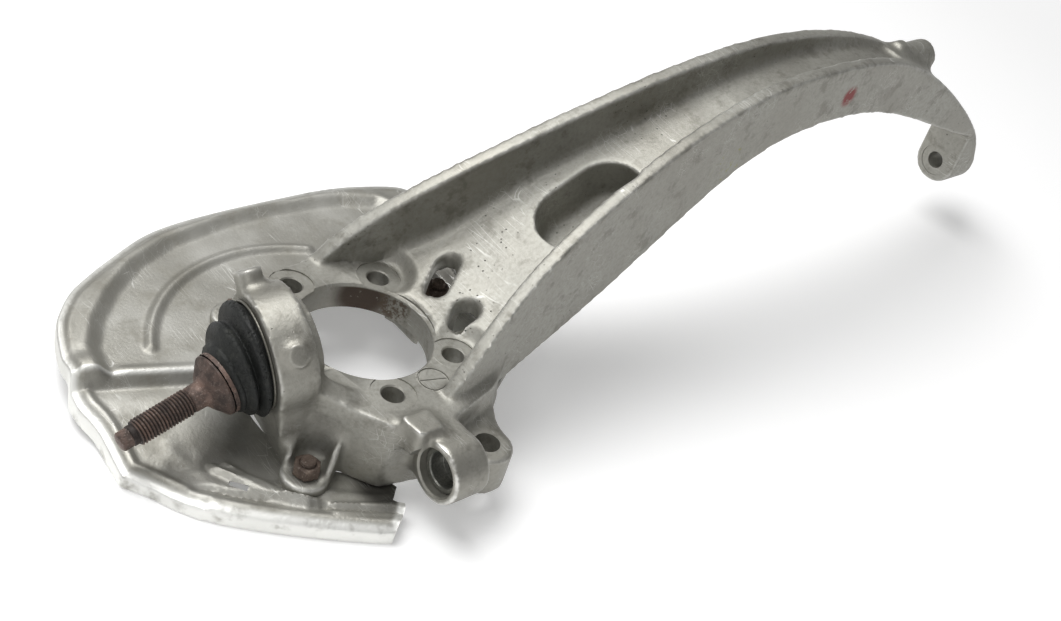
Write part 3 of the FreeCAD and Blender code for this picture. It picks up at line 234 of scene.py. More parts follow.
# Materials
class Nodes:
    """A short way to write node trees."""

    def __init__(self, name):
        self.material = bpy.data.materials.new(name)
        self.material.use_nodes = True
        self.tree = self.material.node_tree
        self.tree.nodes.clear()
        self.shader = self.node("BsdfPrincipled")
        self.wire(self.shader.outputs[0], self.node("OutputMaterial").inputs[0])
        self.where = self.node("NewGeometry").outputs["Position"]

    def wire(self, a, b):
        self.tree.links.new(a, b)

    def put(self, socket, value):
        if isinstance(value, bpy.types.NodeSocket):
            self.wire(value, socket)
        else:
            socket.default_value = value

    def node(self, kind, **values):
        """A new node, its sockets set or wired by name."""
        node = self.tree.nodes.new("ShaderNode" + kind)
        for name, value in values.items():
            self.put(node.inputs[name.replace("_", " ")], value)
        return node

    def noise(self, scale, detail=3.0, rough=0.55):
        node = self.node("TexNoise", Vector=self.where, Scale=scale, Detail=detail, Roughness=rough)
        return node.outputs["Fac"]

    def voronoi(self, scale, feature="F1", where=None):
        node = self.node("TexVoronoi", Vector=where or self.where, Scale=scale)
        node.feature = feature
        return node.outputs["Distance"]

    def ramp(self, value, low=0.3, high=0.7, start=0.0, end=1.0):
        node = self.node("MapRange", Value=value, From_Min=low, From_Max=high, To_Min=start, To_Max=end)
        node.interpolation_type = "SMOOTHSTEP"
        return node.outputs[0]

    def combined(self, kind, a, b):
        node = self.node("Math")
        node.operation = kind
        self.put(node.inputs[0], a)
        self.put(node.inputs[1], b)
        return node.outputs[0]

    def times(self, a, b):
        return self.combined("MULTIPLY", a, b)

    def plus(self, a, b):
        return self.combined("ADD", a, b)

    def minus(self, a, b):
        return self.combined("SUBTRACT", a, b)

    def larger(self, a, b):
        return self.combined("MAXIMUM", a, b)

    def mix(self, share, a, b):
        node = self.node("Mix")
        node.data_type = "RGBA"
        self.put(node.inputs["Factor"], share)
        self.put(node.inputs["A"], a)
        self.put(node.inputs["B"], b)
        return node.outputs["Result"]

    def attribute(self, name):
        node = self.node("Attribute")
        node.attribute_name = name
        return node.outputs["Fac"]

    def stretched(self, scale, turn):
        return self.node("Mapping", Vector=self.where, Scale=scale, Rotation=turn).outputs[0]

    def near(self, point, low, high):
        """1 near a point in metres, 0 away from it."""
        node = self.node("VectorMath")
        node.operation = "DISTANCE"
        self.put(node.inputs[0], self.where)
        node.inputs[1].default_value = point
        return self.ramp(node.outputs["Value"], low, high, 1.0, 0.0)

    def bump(self, height, distance, strength):
        return self.node("Bump", Distance=distance, Strength=strength, Height=height).outputs[0]

    def surface(self, colour, rough, metal, normal=None):
        values = {"Base Color": colour, "Roughness": rough, "Metallic": metal}
        if normal is not None:
            values["Normal"] = normal
        for name, value in values.items():
            self.put(self.shader.inputs[name], value)
        return self.material


def rgb(r, g, b):
    """A screen colour as the linear values that nodes take."""
    out = []
    for c in (r, g, b):
        c /= 255.0
        out.append(c / 12.92 if c <= 0.04045 else ((c + 0.055) / 1.055) ** 2.4)
    return (*out, 1.0)


def scratches(n, *sets):
    """Sparse fine lines, each set stretched along its own direction."""
    marks = []
    for scale, thin, turn in sets:
        where = n.stretched((scale, scale * 0.04, scale), turn)
        lines = n.voronoi(1.0, "DISTANCE_TO_EDGE", where)
        mask = n.ramp(n.noise(38.0, 2.0), 0.5, 0.66)
        marks.append(n.times(n.ramp(lines, 0.0, thin, 1.0, 0.0), mask))
    return n.larger(*marks)


# place in millimetres, reach, colour, threshold of the patches and strength
STAINS = [
    ((22.0, 30.5, -7.0), 20.0, rgb(64, 52, 43), 0.26, 0.95),
    ((34.0, 16.0, -7.0), 14.0, rgb(84, 72, 60), 0.44, 0.9),
    ((331.5, -21.5, 101.7), 9.0, rgb(128, 52, 52), 0.34, 0.95),
    ((226.0, -27.0, 76.0), 20.0, rgb(146, 146, 84), 0.58, 0.8),
]
# heights in metres between which a stain inside the bore fades out
BORE_STAIN_FADE = (-0.0022, -0.0012)
# shaded places of the sheet, with the reach of the middle and of the edge, in metres
SHADED = [((0.088, 0.040, -0.030), 0.016, 0.036), ((-0.026, -0.070, -0.044), 0.009, 0.020)]


def stained(n, colour):
    """Rust and paint stains over a colour."""
    height = n.node("SeparateXYZ", Vector=n.where).outputs["Z"]
    in_bore = n.ramp(height, *BORE_STAIN_FADE, 1.0, 0.0)
    for middle, reach, patch, threshold, strength in STAINS:
        spot = n.near(Vector(middle) * MM, reach * 0.45 * MM, reach * MM)
        if middle[2] < 0.0:
            spot = n.times(spot, in_bore)
        broken = n.ramp(n.noise(260.0, 4.0, 0.7), threshold, threshold + 0.12)
        colour = n.mix(n.times(n.times(spot, broken), strength), colour, patch)
    return colour


def cast_aluminium():
    n = Nodes("cast_aluminium")
    broad = n.noise(14.0, 4.0, 0.6)
    fine = n.noise(420.0, 3.0, 0.6)
    grain = n.noise(1500.0, 2.0, 0.6)
    colour = n.mix(n.ramp(broad), rgb(146, 144, 136), rgb(166, 165, 158))
    colour = n.mix(n.ramp(fine, 0.35, 0.75, 0.0, 0.45), colour, rgb(132, 130, 122))
    worn = n.attribute("wear_and_sheen")
    rub_and_sheen = n.times(n.ramp(worn, 0.25, 0.9), n.ramp(n.noise(120.0, 3.0), 0.3, 0.62))
    colour = n.mix(rub_and_sheen, colour, rgb(222, 221, 216))
    # Darker in the inner corners: painted shade.
    hollow = n.attribute("hollow")
    colour = n.mix(n.times(hollow, 0.55), colour, rgb(92, 90, 83))
    pits = n.voronoi(260.0)
    chance = n.ramp(n.noise(24.0, 3.0), 0.5, 0.66)
    pit = n.times(n.ramp(pits, 0.06, 0.16, 1.0, 0.0), chance)
    colour = n.mix(n.times(pit, 0.85), colour, rgb(60, 58, 54))
    marks = scratches(n, (190.0, 0.012, (0.3, 0.9, 0.6)), (150.0, 0.010, (1.2, 0.2, 2.1)))
    colour = n.mix(n.times(marks, 0.6), colour, rgb(226, 226, 222))
    grime = n.times(n.ramp(n.noise(70.0, 4.0, 0.7), 0.52, 0.68), 0.45)
    colour = n.mix(grime, colour, rgb(104, 101, 92))
    colour = stained(n, colour)
    height = n.plus(n.times(fine, 0.6), n.times(grain, 0.35))
    height = n.minus(height, n.times(pit, 1.2))
    rough_skin = n.minus(1.0, n.times(n.attribute("machined"), 0.75))
    height = n.times(height, rough_skin)
    normal = n.bump(height, 0.00035, 0.75)
    rough = n.ramp(broad, 0.3, 0.7, 0.46, 0.58)
    rough = n.minus(rough, n.times(rub_and_sheen, 0.12))
    return n.surface(colour, rough, 0.72, normal)


def sheet_aluminium():
    n = Nodes("sheet_aluminium")
    broad = n.noise(16.0, 4.0, 0.6)
    fine = n.noise(600.0, 3.0, 0.6)
    colour = n.mix(n.ramp(broad), rgb(156, 154, 146), rgb(178, 177, 171))
    grime = n.ramp(n.noise(45.0, 4.0, 0.65), 0.45, 0.7)
    colour = n.mix(n.times(grime, 0.5), colour, rgb(124, 121, 111))
    speckle = n.ramp(n.voronoi(520.0), 0.05, 0.16, 1.0, 0.0)
    speckle = n.times(speckle, n.ramp(n.noise(50.0, 3.0), 0.45, 0.62))
    colour = n.mix(n.times(speckle, 0.5), colour, rgb(226, 226, 222))
    shaded = n.larger(*(n.near(*spot) for spot in SHADED))
    colour = n.mix(n.times(shaded, 0.85), colour, rgb(48, 46, 42))
    marks = scratches(n, (170.0, 0.012, (0.0, 0.0, 0.5)), (210.0, 0.010, (0.0, 0.0, 1.9)))
    colour = n.mix(n.times(marks, 0.7), colour, rgb(232, 232, 228))
    # Brighter along the lip and the ridge's crest: painted highlight.
    rub_and_sheen = n.times(n.ramp(n.attribute("wear_and_sheen"), 0.15, 0.8), n.ramp(n.noise(90.0, 3.0), 0.22, 0.5))
    colour = n.mix(rub_and_sheen, colour, rgb(236, 236, 232))
    normal = n.bump(n.plus(fine, n.times(n.noise(60.0, 3.0), 1.2)), 0.0003, 0.5)
    rough = n.plus(n.ramp(broad, 0.3, 0.7, 0.44, 0.54), n.times(grime, 0.12))
    return n.surface(colour, rough, 0.74, normal)


def boot_rubber():
    n = Nodes("boot_rubber")
    broad = n.noise(60.0, 4.0, 0.6)
    colour = n.mix(n.ramp(broad), rgb(13, 15, 14), rgb(27, 29, 27))
    crack = n.voronoi(330.0, "DISTANCE_TO_EDGE")
    cracked = n.times(n.ramp(crack, 0.0, 0.05, 1.0, 0.0), n.ramp(n.noise(70.0, 2.0), 0.42, 0.6))
    colour = n.mix(n.times(cracked, 0.8), colour, rgb(14, 15, 14))
    dust = n.ramp(n.noise(220.0, 3.0, 0.7), 0.5, 0.75)
    colour = n.mix(n.times(dust, 0.16), colour, rgb(96, 96, 88))
    height = n.minus(n.times(n.noise(700.0, 3.0), 0.5), cracked)
    n.shader.inputs["Specular IOR Level"].default_value = 0.35
    return n.surface(colour, n.ramp(broad, 0.3, 0.7, 0.5, 0.7), 0.0, n.bump(height, 0.0005, 0.8))


def rusty_steel(name, base, dark, bright):
    n = Nodes(name)
    broad = n.noise(150.0, 4.0, 0.65)
    colour = n.mix(n.ramp(broad, 0.32, 0.66), base, dark)
    speck = n.ramp(n.noise(900.0, 3.0, 0.6), 0.55, 0.75)
    colour = n.mix(n.times(speck, 0.6), colour, bright)
    # Darker in the thread's roots and the groove: painted shade, with rust and dirt.
    colour = n.mix(n.times(n.attribute("root"), 0.85), colour, rgb(26, 20, 17))
    height = n.plus(n.noise(1300.0, 3.0), n.times(broad, 0.8))
    return n.surface(colour, n.ramp(broad, 0.3, 0.7, 0.5, 0.75), 0.25, n.bump(height, 0.0003, 0.7))


def plain_steel(name, tone, rough):
    n = Nodes(name)
    turned = n.noise(800.0, 2.0)
    darker = tuple(c * 0.75 for c in tone[:3]) + (1.0,)
    colour = n.mix(n.ramp(turned, 0.35, 0.7), tone, darker)
    roughness = n.ramp(turned, 0.3, 0.7, rough, rough + 0.12)
    return n.surface(colour, roughness, 0.85, n.bump(turned, 0.0001, 0.5))


def seat_plastic():
    n = Nodes("seat_plastic")
    colour = n.mix(n.ramp(n.noise(200.0)), rgb(214, 210, 198), rgb(228, 225, 214))
    return n.surface(colour, 0.45, 0.0, n.bump(n.noise(900.0), 0.0001, 0.4))


MATERIALS = {
    "cast_aluminium": cast_aluminium(),
    "sheet_aluminium": sheet_aluminium(),
    "boot_rubber": boot_rubber(),
    "stud_steel": rusty_steel("stud_steel", rgb(112, 91, 81), rgb(72, 61, 56), rgb(172, 158, 148)),
    "rusty_fastener": rusty_steel("rusty_fastener", rgb(108, 93, 82), rgb(76, 64, 56), rgb(166, 155, 144)),
    "plated_steel": plain_steel("plated_steel", rgb(120, 118, 110), 0.42),
    "sleeve_steel": plain_steel("sleeve_steel", rgb(128, 128, 122), 0.35),
    "seat_plastic": seat_plastic(),
}
SLOTS = {row["node"]: row["material_slot"] for row in frame["record"]["subparts"]}
for node_name, node_object in NODES.items():
    node_object.data.materials.clear()
    node_object.data.materials.append(MATERIALS[SLOTS[node_name]])


# Camera, light and floor
CAMERA_PLACE = (-0.514926, -0.486916, 0.559329)
CAMERA_AXES = (
    (0.72618097, -0.62885949, 0.27784338),
    (0.23359073, 0.60577746, 0.76057152),
    (-0.64660387, -0.48741093, 0.58679981),
)
SENSOR_MM = 36.0
PHOTO_WIDTH = 1061.0
FOCAL_PIXELS = 1700.0
# name, place, target, size and watts
LIGHTS = [
    ("key", (-0.2, 0.5, 1.3), (0.1, 0, 0), (1.3, 0.9), 24.0),
    ("fill", (-1.0, -0.9, 0.7), (0.1, 0, 0), (0.9, 0.9), 4.5),
]
WORLD_LEVEL = 0.26
FLOOR_Z = -0.0525
FLOOR_SPAN = 9.0
FLOOR_GLOW = 0.25
# the floor turns white between these distances from the object's middle
FLOOR_MIDDLE = (0.2, 0.0, -0.05)
FLOOR_WHITE = (0.7, 2.0)


def make_camera():
    data = bpy.data.cameras.new("camera")
    data.sensor_width = SENSOR_MM
    data.lens = FOCAL_PIXELS * SENSOR_MM / PHOTO_WIDTH
    data.clip_start = 0.01
    camera = add("camera", data)
    rotation = Matrix(CAMERA_AXES).transposed()
    camera.matrix_world = Matrix.Translation(CAMERA_PLACE) @ rotation.to_4x4()
    bpy.context.scene.camera = camera


def area_light(name, location, target, size, power):
    data = bpy.data.lights.new(name, "AREA")
    data.shape = "RECTANGLE"
    data.size, data.size_y = size
    data.energy = power
    lamp = add(name, data)
    lamp.location = location
    lamp.rotation_euler = (Vector(target) - Vector(location)).to_track_quat("-Z", "Y").to_euler()


def make_world(strength):
    world = bpy.data.worlds.new("studio")
    bpy.context.scene.world = world
    world.use_nodes = True
    tree = world.node_tree
    background = tree.nodes["Background"]
    path = tree.nodes.new("ShaderNodeLightPath")
    seen = tree.nodes.new("ShaderNodeMath")
    seen.operation = "MAXIMUM"
    tree.links.new(path.outputs["Is Camera Ray"], seen.inputs[0])
    tree.links.new(path.outputs["Is Transmission Ray"], seen.inputs[1])
    level = tree.nodes.new("ShaderNodeMapRange")
    tree.links.new(seen.outputs[0], level.inputs["Value"])
    level.inputs["To Min"].default_value = strength
    level.inputs["To Max"].default_value = 1.0
    tree.links.new(level.outputs[0], background.inputs["Strength"])
    background.inputs["Color"].default_value = (1.0, 1.0, 1.0, 1.0)


def make_floor():
    """A plain floor that keeps the object's shadow and turns white away from it."""
    corners = ((-1, -1), (1, -1), (1, 1), (-1, 1))
    verts = [(x * FLOOR_SPAN, y * FLOOR_SPAN, 0) for x, y in corners]
    n = Nodes("floor")
    n.surface((0.86, 0.86, 0.86, 1.0), 0.9, 0.0)
    path = n.node("LightPath")
    seen = n.larger(path.outputs["Is Camera Ray"], path.outputs["Is Glossy Ray"])
    n.shader.inputs["Emission Color"].default_value = (1.0, 1.0, 1.0, 1.0)
    glow = n.minus(1.0 + FLOOR_GLOW, n.near(FLOOR_MIDDLE, *FLOOR_WHITE))
    n.put(n.shader.inputs["Emission Strength"], n.times(seen, glow))
    floor = new_object("floor", verts, [(0, 1, 2, 3)], None, n.material)
    floor.location = (0.0, 0.0, FLOOR_Z)


make_camera()
make_world(WORLD_LEVEL)
for light in LIGHTS:
    area_light(*light)
make_floor()
bpy.context.scene.view_settings.view_transform = "Standard"


# Knuckle
BORE_R = 37.8
BOLT_R = 6.25
SPOT_R = 12.5
BOLT_CIRCLE_R = 48.9
BOLT_ANGLES = (44.5, -44.5, 108.5, -108.5)
SPOT_DEPTH = 0.8
TIE_PLACE = (0, -91, -16)
SLEEVE_SEAT_R = 13.0
LUG_PLACE = (21.7, -85.5, 0)
TIP_PLACE = (0, 0, -4.5)
TIP_FACE = 530.5
TIP_END = 556.9
MARK_PLACE = (11, -46.5, 0)
MARK_DEPTH = 0.7
VOXEL = 1.3
RIPPLE = 0.22
CASTING_TRIANGLES = 178000


def bolt_places():
    for angle in BOLT_ANGLES:
        turn = math.radians(angle)
        yield BOLT_CIRCLE_R * math.cos(turn), BOLT_CIRCLE_R * math.sin(turn)


def turned(name, rows):
    """Objects from rows of profile, steps and place."""
    return [new_object(name, *lathe(profile, steps), matrix) for profile, steps, matrix in rows]


def machined_plugs():
    """Plugs that fill the machined holes, so that only the cast edges get rounded."""
    plugs = [(BORE_R + 1.0, -15.9, 0.0, 96, IN_MM)]
    plugs += [(SPOT_R + 0.6, -15.0, 0.0, 48, place((x, y, 0))) for x, y in bolt_places()]
    plugs.append((13.6, -17.95, 4.0, 48, place(TIE_PLACE, ALONG_X)))
    plugs.append((7.6, -38.9, -15.0, 48, place(LUG_PLACE)))
    plugs.append((12.0, 530.0, 545.0, 48, place(TIP_PLACE, ALONG_X)))
    rows = []
    for radius, low, high, steps, matrix in plugs:
        rows.append(([(0, low), (radius, low), (radius, high), (0, high)], steps, matrix))
    return turned("plug", rows)


def machined_cutters():
    """The holes as clean tools, one after another, none touching another."""
    rim = BORE_R + 1.5
    bore = [(0, -60), (BORE_R, -60), (BORE_R, -1.2), (BORE_R + 1.0, -0.1), (rim, 0.3), (rim, 60), (0, 60)]
    edge = BOLT_R + 0.7
    spot = -SPOT_DEPTH
    bolt_hole = [(0, -40), (BOLT_R, -40), (BOLT_R, -1.5), (edge, spot), (SPOT_R, spot), (SPOT_R, 20), (0, 20)]
    seat = SLEEVE_SEAT_R
    tie = [(0, -30), (14.1, -30), (14.1, -18.1), (seat, -17.0), (seat, 0), (9.5, 0), (9.5, 6), (0, 6)]
    lug = [(0, -60), (7.0, -60), (7.0, 0), (0, 0)]
    tip = [(0, 500), (11.5, 500), (11.5, TIP_FACE), (6.2, TIP_FACE), (6.2, 570), (0, 570)]
    tools = [(bore, 128, IN_MM)]
    tools += [(bolt_hole, 64, place((x, y, 0))) for x, y in bolt_places()]
    tools.append((tie, 64, place(TIE_PLACE, ALONG_X)))
    tools.append((lug, 48, place(LUG_PLACE)))
    tools.append((tip, 48, place(TIP_PLACE, ALONG_X)))
    return turned("tool", tools) + mould_mark()


def mould_mark():
    """Tools for the mark of a mould insert: a ring with a bar across it."""
    matrix = place(MARK_PLACE)
    low, high = -MARK_DEPTH, 3.0
    groove = [(8.0, low), (8.75, low), (8.75, high), (8.0, high)]
    ends = ((-7.6, 2.4), (-7.3, 1.7), (7.6, -2.4), (7.3, -1.7))
    bar = [(x, y, z) for z in (low, high) for x, y in ends]
    faces = [(3, 2, 1, 0), (4, 5, 6, 7), (0, 1, 5, 4), (1, 2, 6, 5), (2, 3, 7, 6), (3, 0, 4, 7)]
    ring_tool = new_object("tool", *lathe(groove, 64, True), matrix)
    return [ring_tool, new_object("tool", bar, faces, matrix)]


def cut_away(obj, tools):
    """Takes the tools from the object and removes them."""
    for tool in tools:
        cut = obj.modifiers.new("cut", "BOOLEAN")
        cut.operation = "DIFFERENCE"
        cut.solver = "MANIFOLD"
        cut.object = tool
    apply_modifiers(obj)
    for tool in tools:
        bpy.data.objects.remove(tool)


def edge_arrays(mesh):
    """Points, and their links: both directions of each edge and the count of neighbours."""
    coords = read(mesh.vertices, "co", 3)
    edges = read(mesh.edges, "vertices", 2, np.int32)
    both = np.concatenate([edges, edges[:, ::-1]])
    degree = np.bincount(both[:, 0], minlength=len(coords)).astype(float)
    return coords, (both, np.maximum(degree, 1.0))


def neighbour_mean(values, links):
    """The mean of each point's neighbours, for single values or for rows of three."""
    if values.ndim > 1:
        return np.stack([neighbour_mean(column, links) for column in values.T], 1)
    both, degree = links
    return np.bincount(both[:, 0], weights=values[both[:, 1]], minlength=len(values)) / degree


def smoothed(coords, links, weight):
    """Each point moved by its weight towards the mean of its neighbours."""
    return coords + (neighbour_mean(coords, links) - coords) * weight[:, None]


def vertex_normals(mesh, coords):
    mesh.vertices.foreach_set("co", coords.ravel())
    mesh.update()
    return read(mesh.vertices, "normal", 3)


def machined_mask(coords):
    """1 on the faces that are cut flat on the real casting."""
    x, y, z = (coords / MM).T
    radius = np.hypot(x, y)
    hub = (np.abs(z) < 1.2) & (radius < 63) & (x > -50)
    tie = (np.abs(x + 18) < 1.0) & (np.hypot(y + 91, z + 16) < 18)
    hook = (np.abs(x - 530) < 1.0) & (np.hypot(y, z + 4.5) < 14)
    return (hub | tie | hook).astype(float)


def corners_filled(mesh, coords, links, hold):
    """Strong smoothing in the inner corners, as fillets are."""
    for _ in range(5):
        normals = vertex_normals(mesh, coords)
        pull = neighbour_mean(coords, links) - coords
        concave = np.clip((pull * normals).sum(1) / (0.030 * VOXEL * MM), 0.0, 1.0)
        for _ in range(4):
            concave = np.maximum(concave, neighbour_mean(concave, links))
        for _ in range(8):
            coords = smoothed(coords, links, concave * (1.0 - hold) * 0.55)
    return coords


def wear_and_hollow(coords, normals, links):
    """How worn each outer edge is, and how deep each inner corner, from 0 to 1."""
    pull = neighbour_mean(coords, links) - coords
    bend = (pull * normals).sum(1) / (VOXEL * MM)
    for _ in range(2):
        bend = 0.5 * bend + 0.5 * neighbour_mean(bend, links)
    wear_and_sheen = np.clip(-bend / 0.16, 0.0, 1.0)
    hollow = np.clip(bend / 0.10, 0.0, 1.0)
    for _ in range(6):
        hollow = 0.4 * hollow + 0.6 * neighbour_mean(hollow, links)
    return wear_and_sheen, hollow


def flatten_round_bolts(coords, normals):
    """Brings the cast skin down to the hub face round each bolt hole."""
    for x, y in bolt_places():
        beside = np.hypot(coords[:, 0] / MM - x, coords[:, 1] / MM - y)
        above = (coords[:, 2] > 0.2 * MM) & (coords[:, 2] < 9.0 * MM) & (normals[:, 2] > 0.3)
        keep = smoothstep(SPOT_R + 0.5, SPOT_R + 9.0, beside)
        coords[:, 2] = np.where(above, coords[:, 2] * keep, coords[:, 2])


def ripple_at(point):
    return noise.noise(Vector(point) * 45.0) + 0.5 * noise.noise(Vector(point) * 110.0)


def rounded_casting(obj):
    """Smooths the casting, fills its inner corners and gives it a faint ripple."""
    mesh = obj.data
    coords, links = edge_arrays(mesh)
    machined = machined_mask(coords)
    hold = np.maximum(machined, neighbour_mean(machined, links))
    for _ in range(5):
        coords = smoothed(coords, links, 0.55 * (1.0 - 0.8 * hold))
    coords = corners_filled(mesh, coords, links, hold)
    normals = vertex_normals(mesh, coords)
    wear_and_sheen, hollow = wear_and_hollow(coords, normals, links)
    flatten_round_bolts(coords, normals)
    ripple = np.array([ripple_at(p) for p in coords])
    coords = coords + normals * (ripple * (1.0 - hold) * RIPPLE * MM)[:, None]
    coords[:, 0] = np.minimum(coords[:, 0], TIP_END * MM)
    mesh.vertices.foreach_set("co", coords.ravel())
    for name, values in (("wear_and_sheen", wear_and_sheen), ("hollow", hollow), ("machined", hold)):
        write_values(mesh, name, values)
    mesh.update()


def make_knuckle():
    source = copy_of("knuckle", "knuckle_source")
    casting = joined("casting", [source] + machined_plugs())
    voxel_remeshed(casting, VOXEL)
    rounded_casting(casting)
    fewer = casting.modifiers.new("fewer", "DECIMATE")
    fewer.ratio = CASTING_TRIANGLES / (2 * len(casting.data.polygons))
    apply_modifiers(casting)
    cut_away(casting, machined_cutters())
    casting.data.materials.clear()
    casting.data.materials.append(MATERIALS["cast_aluminium"])
    finish_mesh(casting, 40.0)
    casting.name = "knuckle_casting"
    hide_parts("knuckle")
    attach(casting, "root")


make_knuckle()


# Dust shield
SHEET = 1.4
SHEET_STEP = 1.6
LIP = 8.0
LIP_LOWEST = -51.9
FAR_LEVEL = -30.0
NEAR_LEVEL = -36.0
FAR_ARC = [
    (104, 6), (112, 40), (124, 76), (137, 104), (138.5, 114), (131, 128.7), (106.1, 138), (81.2, 142.7),
    (45.6, 144.4), (-1, 144.7), (-41.4, 140.7), (-76.9, 126.7), (-96.4, 117.2), (-108.4, 109.9),
    (-119.5, 99.5), (-128.5, 88), (-137, 68), (-138.8, 56), (-141.8, 45), (-142.4, 36), (-139.9, 21),
    (-142.2, -6),
]
NEAR_LEFT = [(-142.2, -6), (-132.7, -19), (-126.3, -30.6), (-118.5, -41.5)]
FRONT_ARC = [(-116.5, -43), (-108.5, -50.7), (-90.2, -64.8), (-69.6, -79), (-48, -92.4), (-39.5, -96.8)]
OPEN_END = [(-39.5, -96.8), (-27.3, -88.1), (-24.2, -84.2)]
INNER_EDGE = [(-24.2, -84.2), (-27.5, -78.5), (-19, -71), (-22, -61), (-40, -50)]
HUB_GAP_R = 64.0
RECESS = [
    (-119.5, 46), (-115.5, 66), (-103.5, 83), (-86, 99.7), (-62.6, 115.2), (-35, 125.6), (4.2, 131.3),
    (37.3, 131.7), (67.3, 129), (84, 126), (103, 118), (112, 104), (104, 66), (99, 40), (98, -4), (-30, -4),
]
RIDGE_START = np.array((-138.5, 54.2))
RIDGE_END = np.array((-46.0, 23.0))
RIDGE_FALL = 0.337
SHIELD_BOLTS = [(-62.5, -47.5), (-40.0, 57.0), (80.0, 30.0)]
# middle, radius, and first and last angle
BEAD = (-6.0, 14.0, 95.0, 62.0, 153.0)
FRONT_RIBS = [
    ((-99.3, -21.1), (-91.0, -36.0), (-83.2, -51.3), (-70.5, -62.5)),
    ((-92.5, -22.9), (-85.0, -38.0), (-76.2, -55.8), (-66.0, -63.5)),
]
FRONT_STRIP = [(-58, -71.5), (-26.5, -86.2)]
DRAIN_SLOT = [(-99.0, -34.0), (-93.0, -42.0), (-90.9, -40.4), (-96.9, -32.4)]


def smooth_path(points, step):
    """Points at even steps along a smooth curve through the given ones."""
    pts = np.array(points, float)
    pts = [2 * pts[0] - pts[1], *pts, 2 * pts[-1] - pts[-2]]
    out = []
    for a, b, c, d in zip(pts[:-3], pts[1:-2], pts[2:-1], pts[3:]):
        count = max(1, round(np.linalg.norm(c - b) / step))
        for t in np.arange(count) / count:
            out.append(0.5 * (2 * b + (c - a) * t + (2 * a - 5 * b + 4 * c - d) * t * t
                              + (3 * b - a - 3 * c + d) * t ** 3))
    return out + [pts[-2]]


def straight_path(points, step):
    points = np.array(points, float)
    out = []
    for a, b in zip(points[:-1], points[1:]):
        count = max(1, round(np.linalg.norm(b - a) / step))
        out += [a + (b - a) * k / count for k in range(count)]
    return out + [points[-1]]


def nearest(points, path):
    """Distance of each point from a path, and the direction away from it."""
    best = np.full(len(points), 1e9)
    away = np.zeros((len(points), 2))
    path = np.array(path, float)
    for a, along in zip(path[:-1], path[1:] - path[:-1]):
        share = np.clip(((points - a) @ along) / max(along @ along, 1e-12), 0.0, 1.0)
        gap = points - (a + share[:, None] * along)
        distance = np.hypot(*gap.T)
        closer = distance < best
        best[closer] = distance[closer]
        away[closer] = gap[closer] / np.maximum(distance[closer], 1e-9)[:, None]
    return best, away


def inside(points, loop):
    """True for the points inside a closed loop."""
    x, y = points.T
    result = np.zeros(len(points), bool)
    for (ax, ay), (bx, by) in zip(loop, loop[1:] + loop[:1]):
        crosses = (ay > y) != (by > y)
        with np.errstate(divide="ignore", invalid="ignore"):
            at = ax + (y - ay) * (bx - ax) / (by - ay)
        result ^= crosses & (x < at)
    return result


def mound(distance, width):
    """1 at 0, falling smoothly to 0 at a width."""
    return np.where(np.abs(distance) < width, 0.5 + 0.5 * np.cos(np.pi * distance / width), 0.0)


def wander(points, scale, seed):
    """Smooth noise at each plan point, scale in millimetres."""
    return np.array([noise.noise(Vector((x / scale, y / scale, seed))) for x, y in points])


def far_height(points, past, along, outer):
    """The far part: a recessed panel, its rim, the flange round it, a bead and a lump."""
    x, y = points.T
    edge, _ = nearest(points, RECESS + RECESS[:1])
    edge = np.where(inside(points, RECESS), edge, -edge)
    far = FAR_LEVEL + 4.0 * smoothstep(1.5, -7.5, edge)
    far += 0.7 * mound(edge + 8.5, 5.0) - 1.9 * smoothstep(6.5, 3.0, outer) * smoothstep(-3.0, -9.0, edge)
    cx, cy, radius, first, last = BEAD
    angle = np.radians(np.clip(np.degrees(np.arctan2(y - cy, x - cx)), first, last))
    bead = np.hypot(x - cx - radius * np.cos(angle), y - cy - radius * np.sin(angle))
    far += 2.7 * mound(bead, 5.0)
    far += 1.1 * mound(past + 2.2, 4.5) * smoothstep(18.0, 30.0, along)
    far += 2.2 * mound(np.hypot(x + 129.5, y - 55.0), 12.0)
    return far


def near_height(points, past, outer, left, front):
    """The near part: a slope past the ridge, a folded border on the left and a roll in front."""
    x, y = points.T
    near = NEAR_LEVEL - 8.0 * smoothstep(2.0, 66.0, past)
    near += 0.9 * mound(past - 16.0, 14.0)
    ahead = smoothstep(-124.0, -104.0, x)
    side = np.minimum(left, outer)
    border = smoothstep(0.0, 10.0, past) * smoothstep(20.0, 12.0, side) * (1.0 - ahead)
    near += border * (2.2 * mound(side - 7.5, 4.6) - 1.0 * smoothstep(5.0, 2.0, side))
    near += ahead * (2.7 * mound(front - 6.5, 7.0) - 1.1 * mound(front - 14.0, 2.6))
    near += ahead * 1.3 * smoothstep(29.0, 24.0, front) * smoothstep(14.0, 16.0, front)
    for rib in FRONT_RIBS:
        near += 3.0 * mound(nearest(points, straight_path(rib, 30.0))[0], 4.4)
    pad = np.hypot(x - SHIELD_BOLTS[0][0], y - SHIELD_BOLTS[0][1])
    near += 0.5 * smoothstep(18.0, 14.0, pad)
    near += 1.5 * smoothstep(5.6, 2.8, nearest(points, straight_path(FRONT_STRIP, 50.0))[0])
    crumple = smoothstep(26.0, 8.0, np.hypot(x + 114.0, y + 14.0))
    near += crumple * 0.9 * wander(points, 9.0, 3.3)
    return near


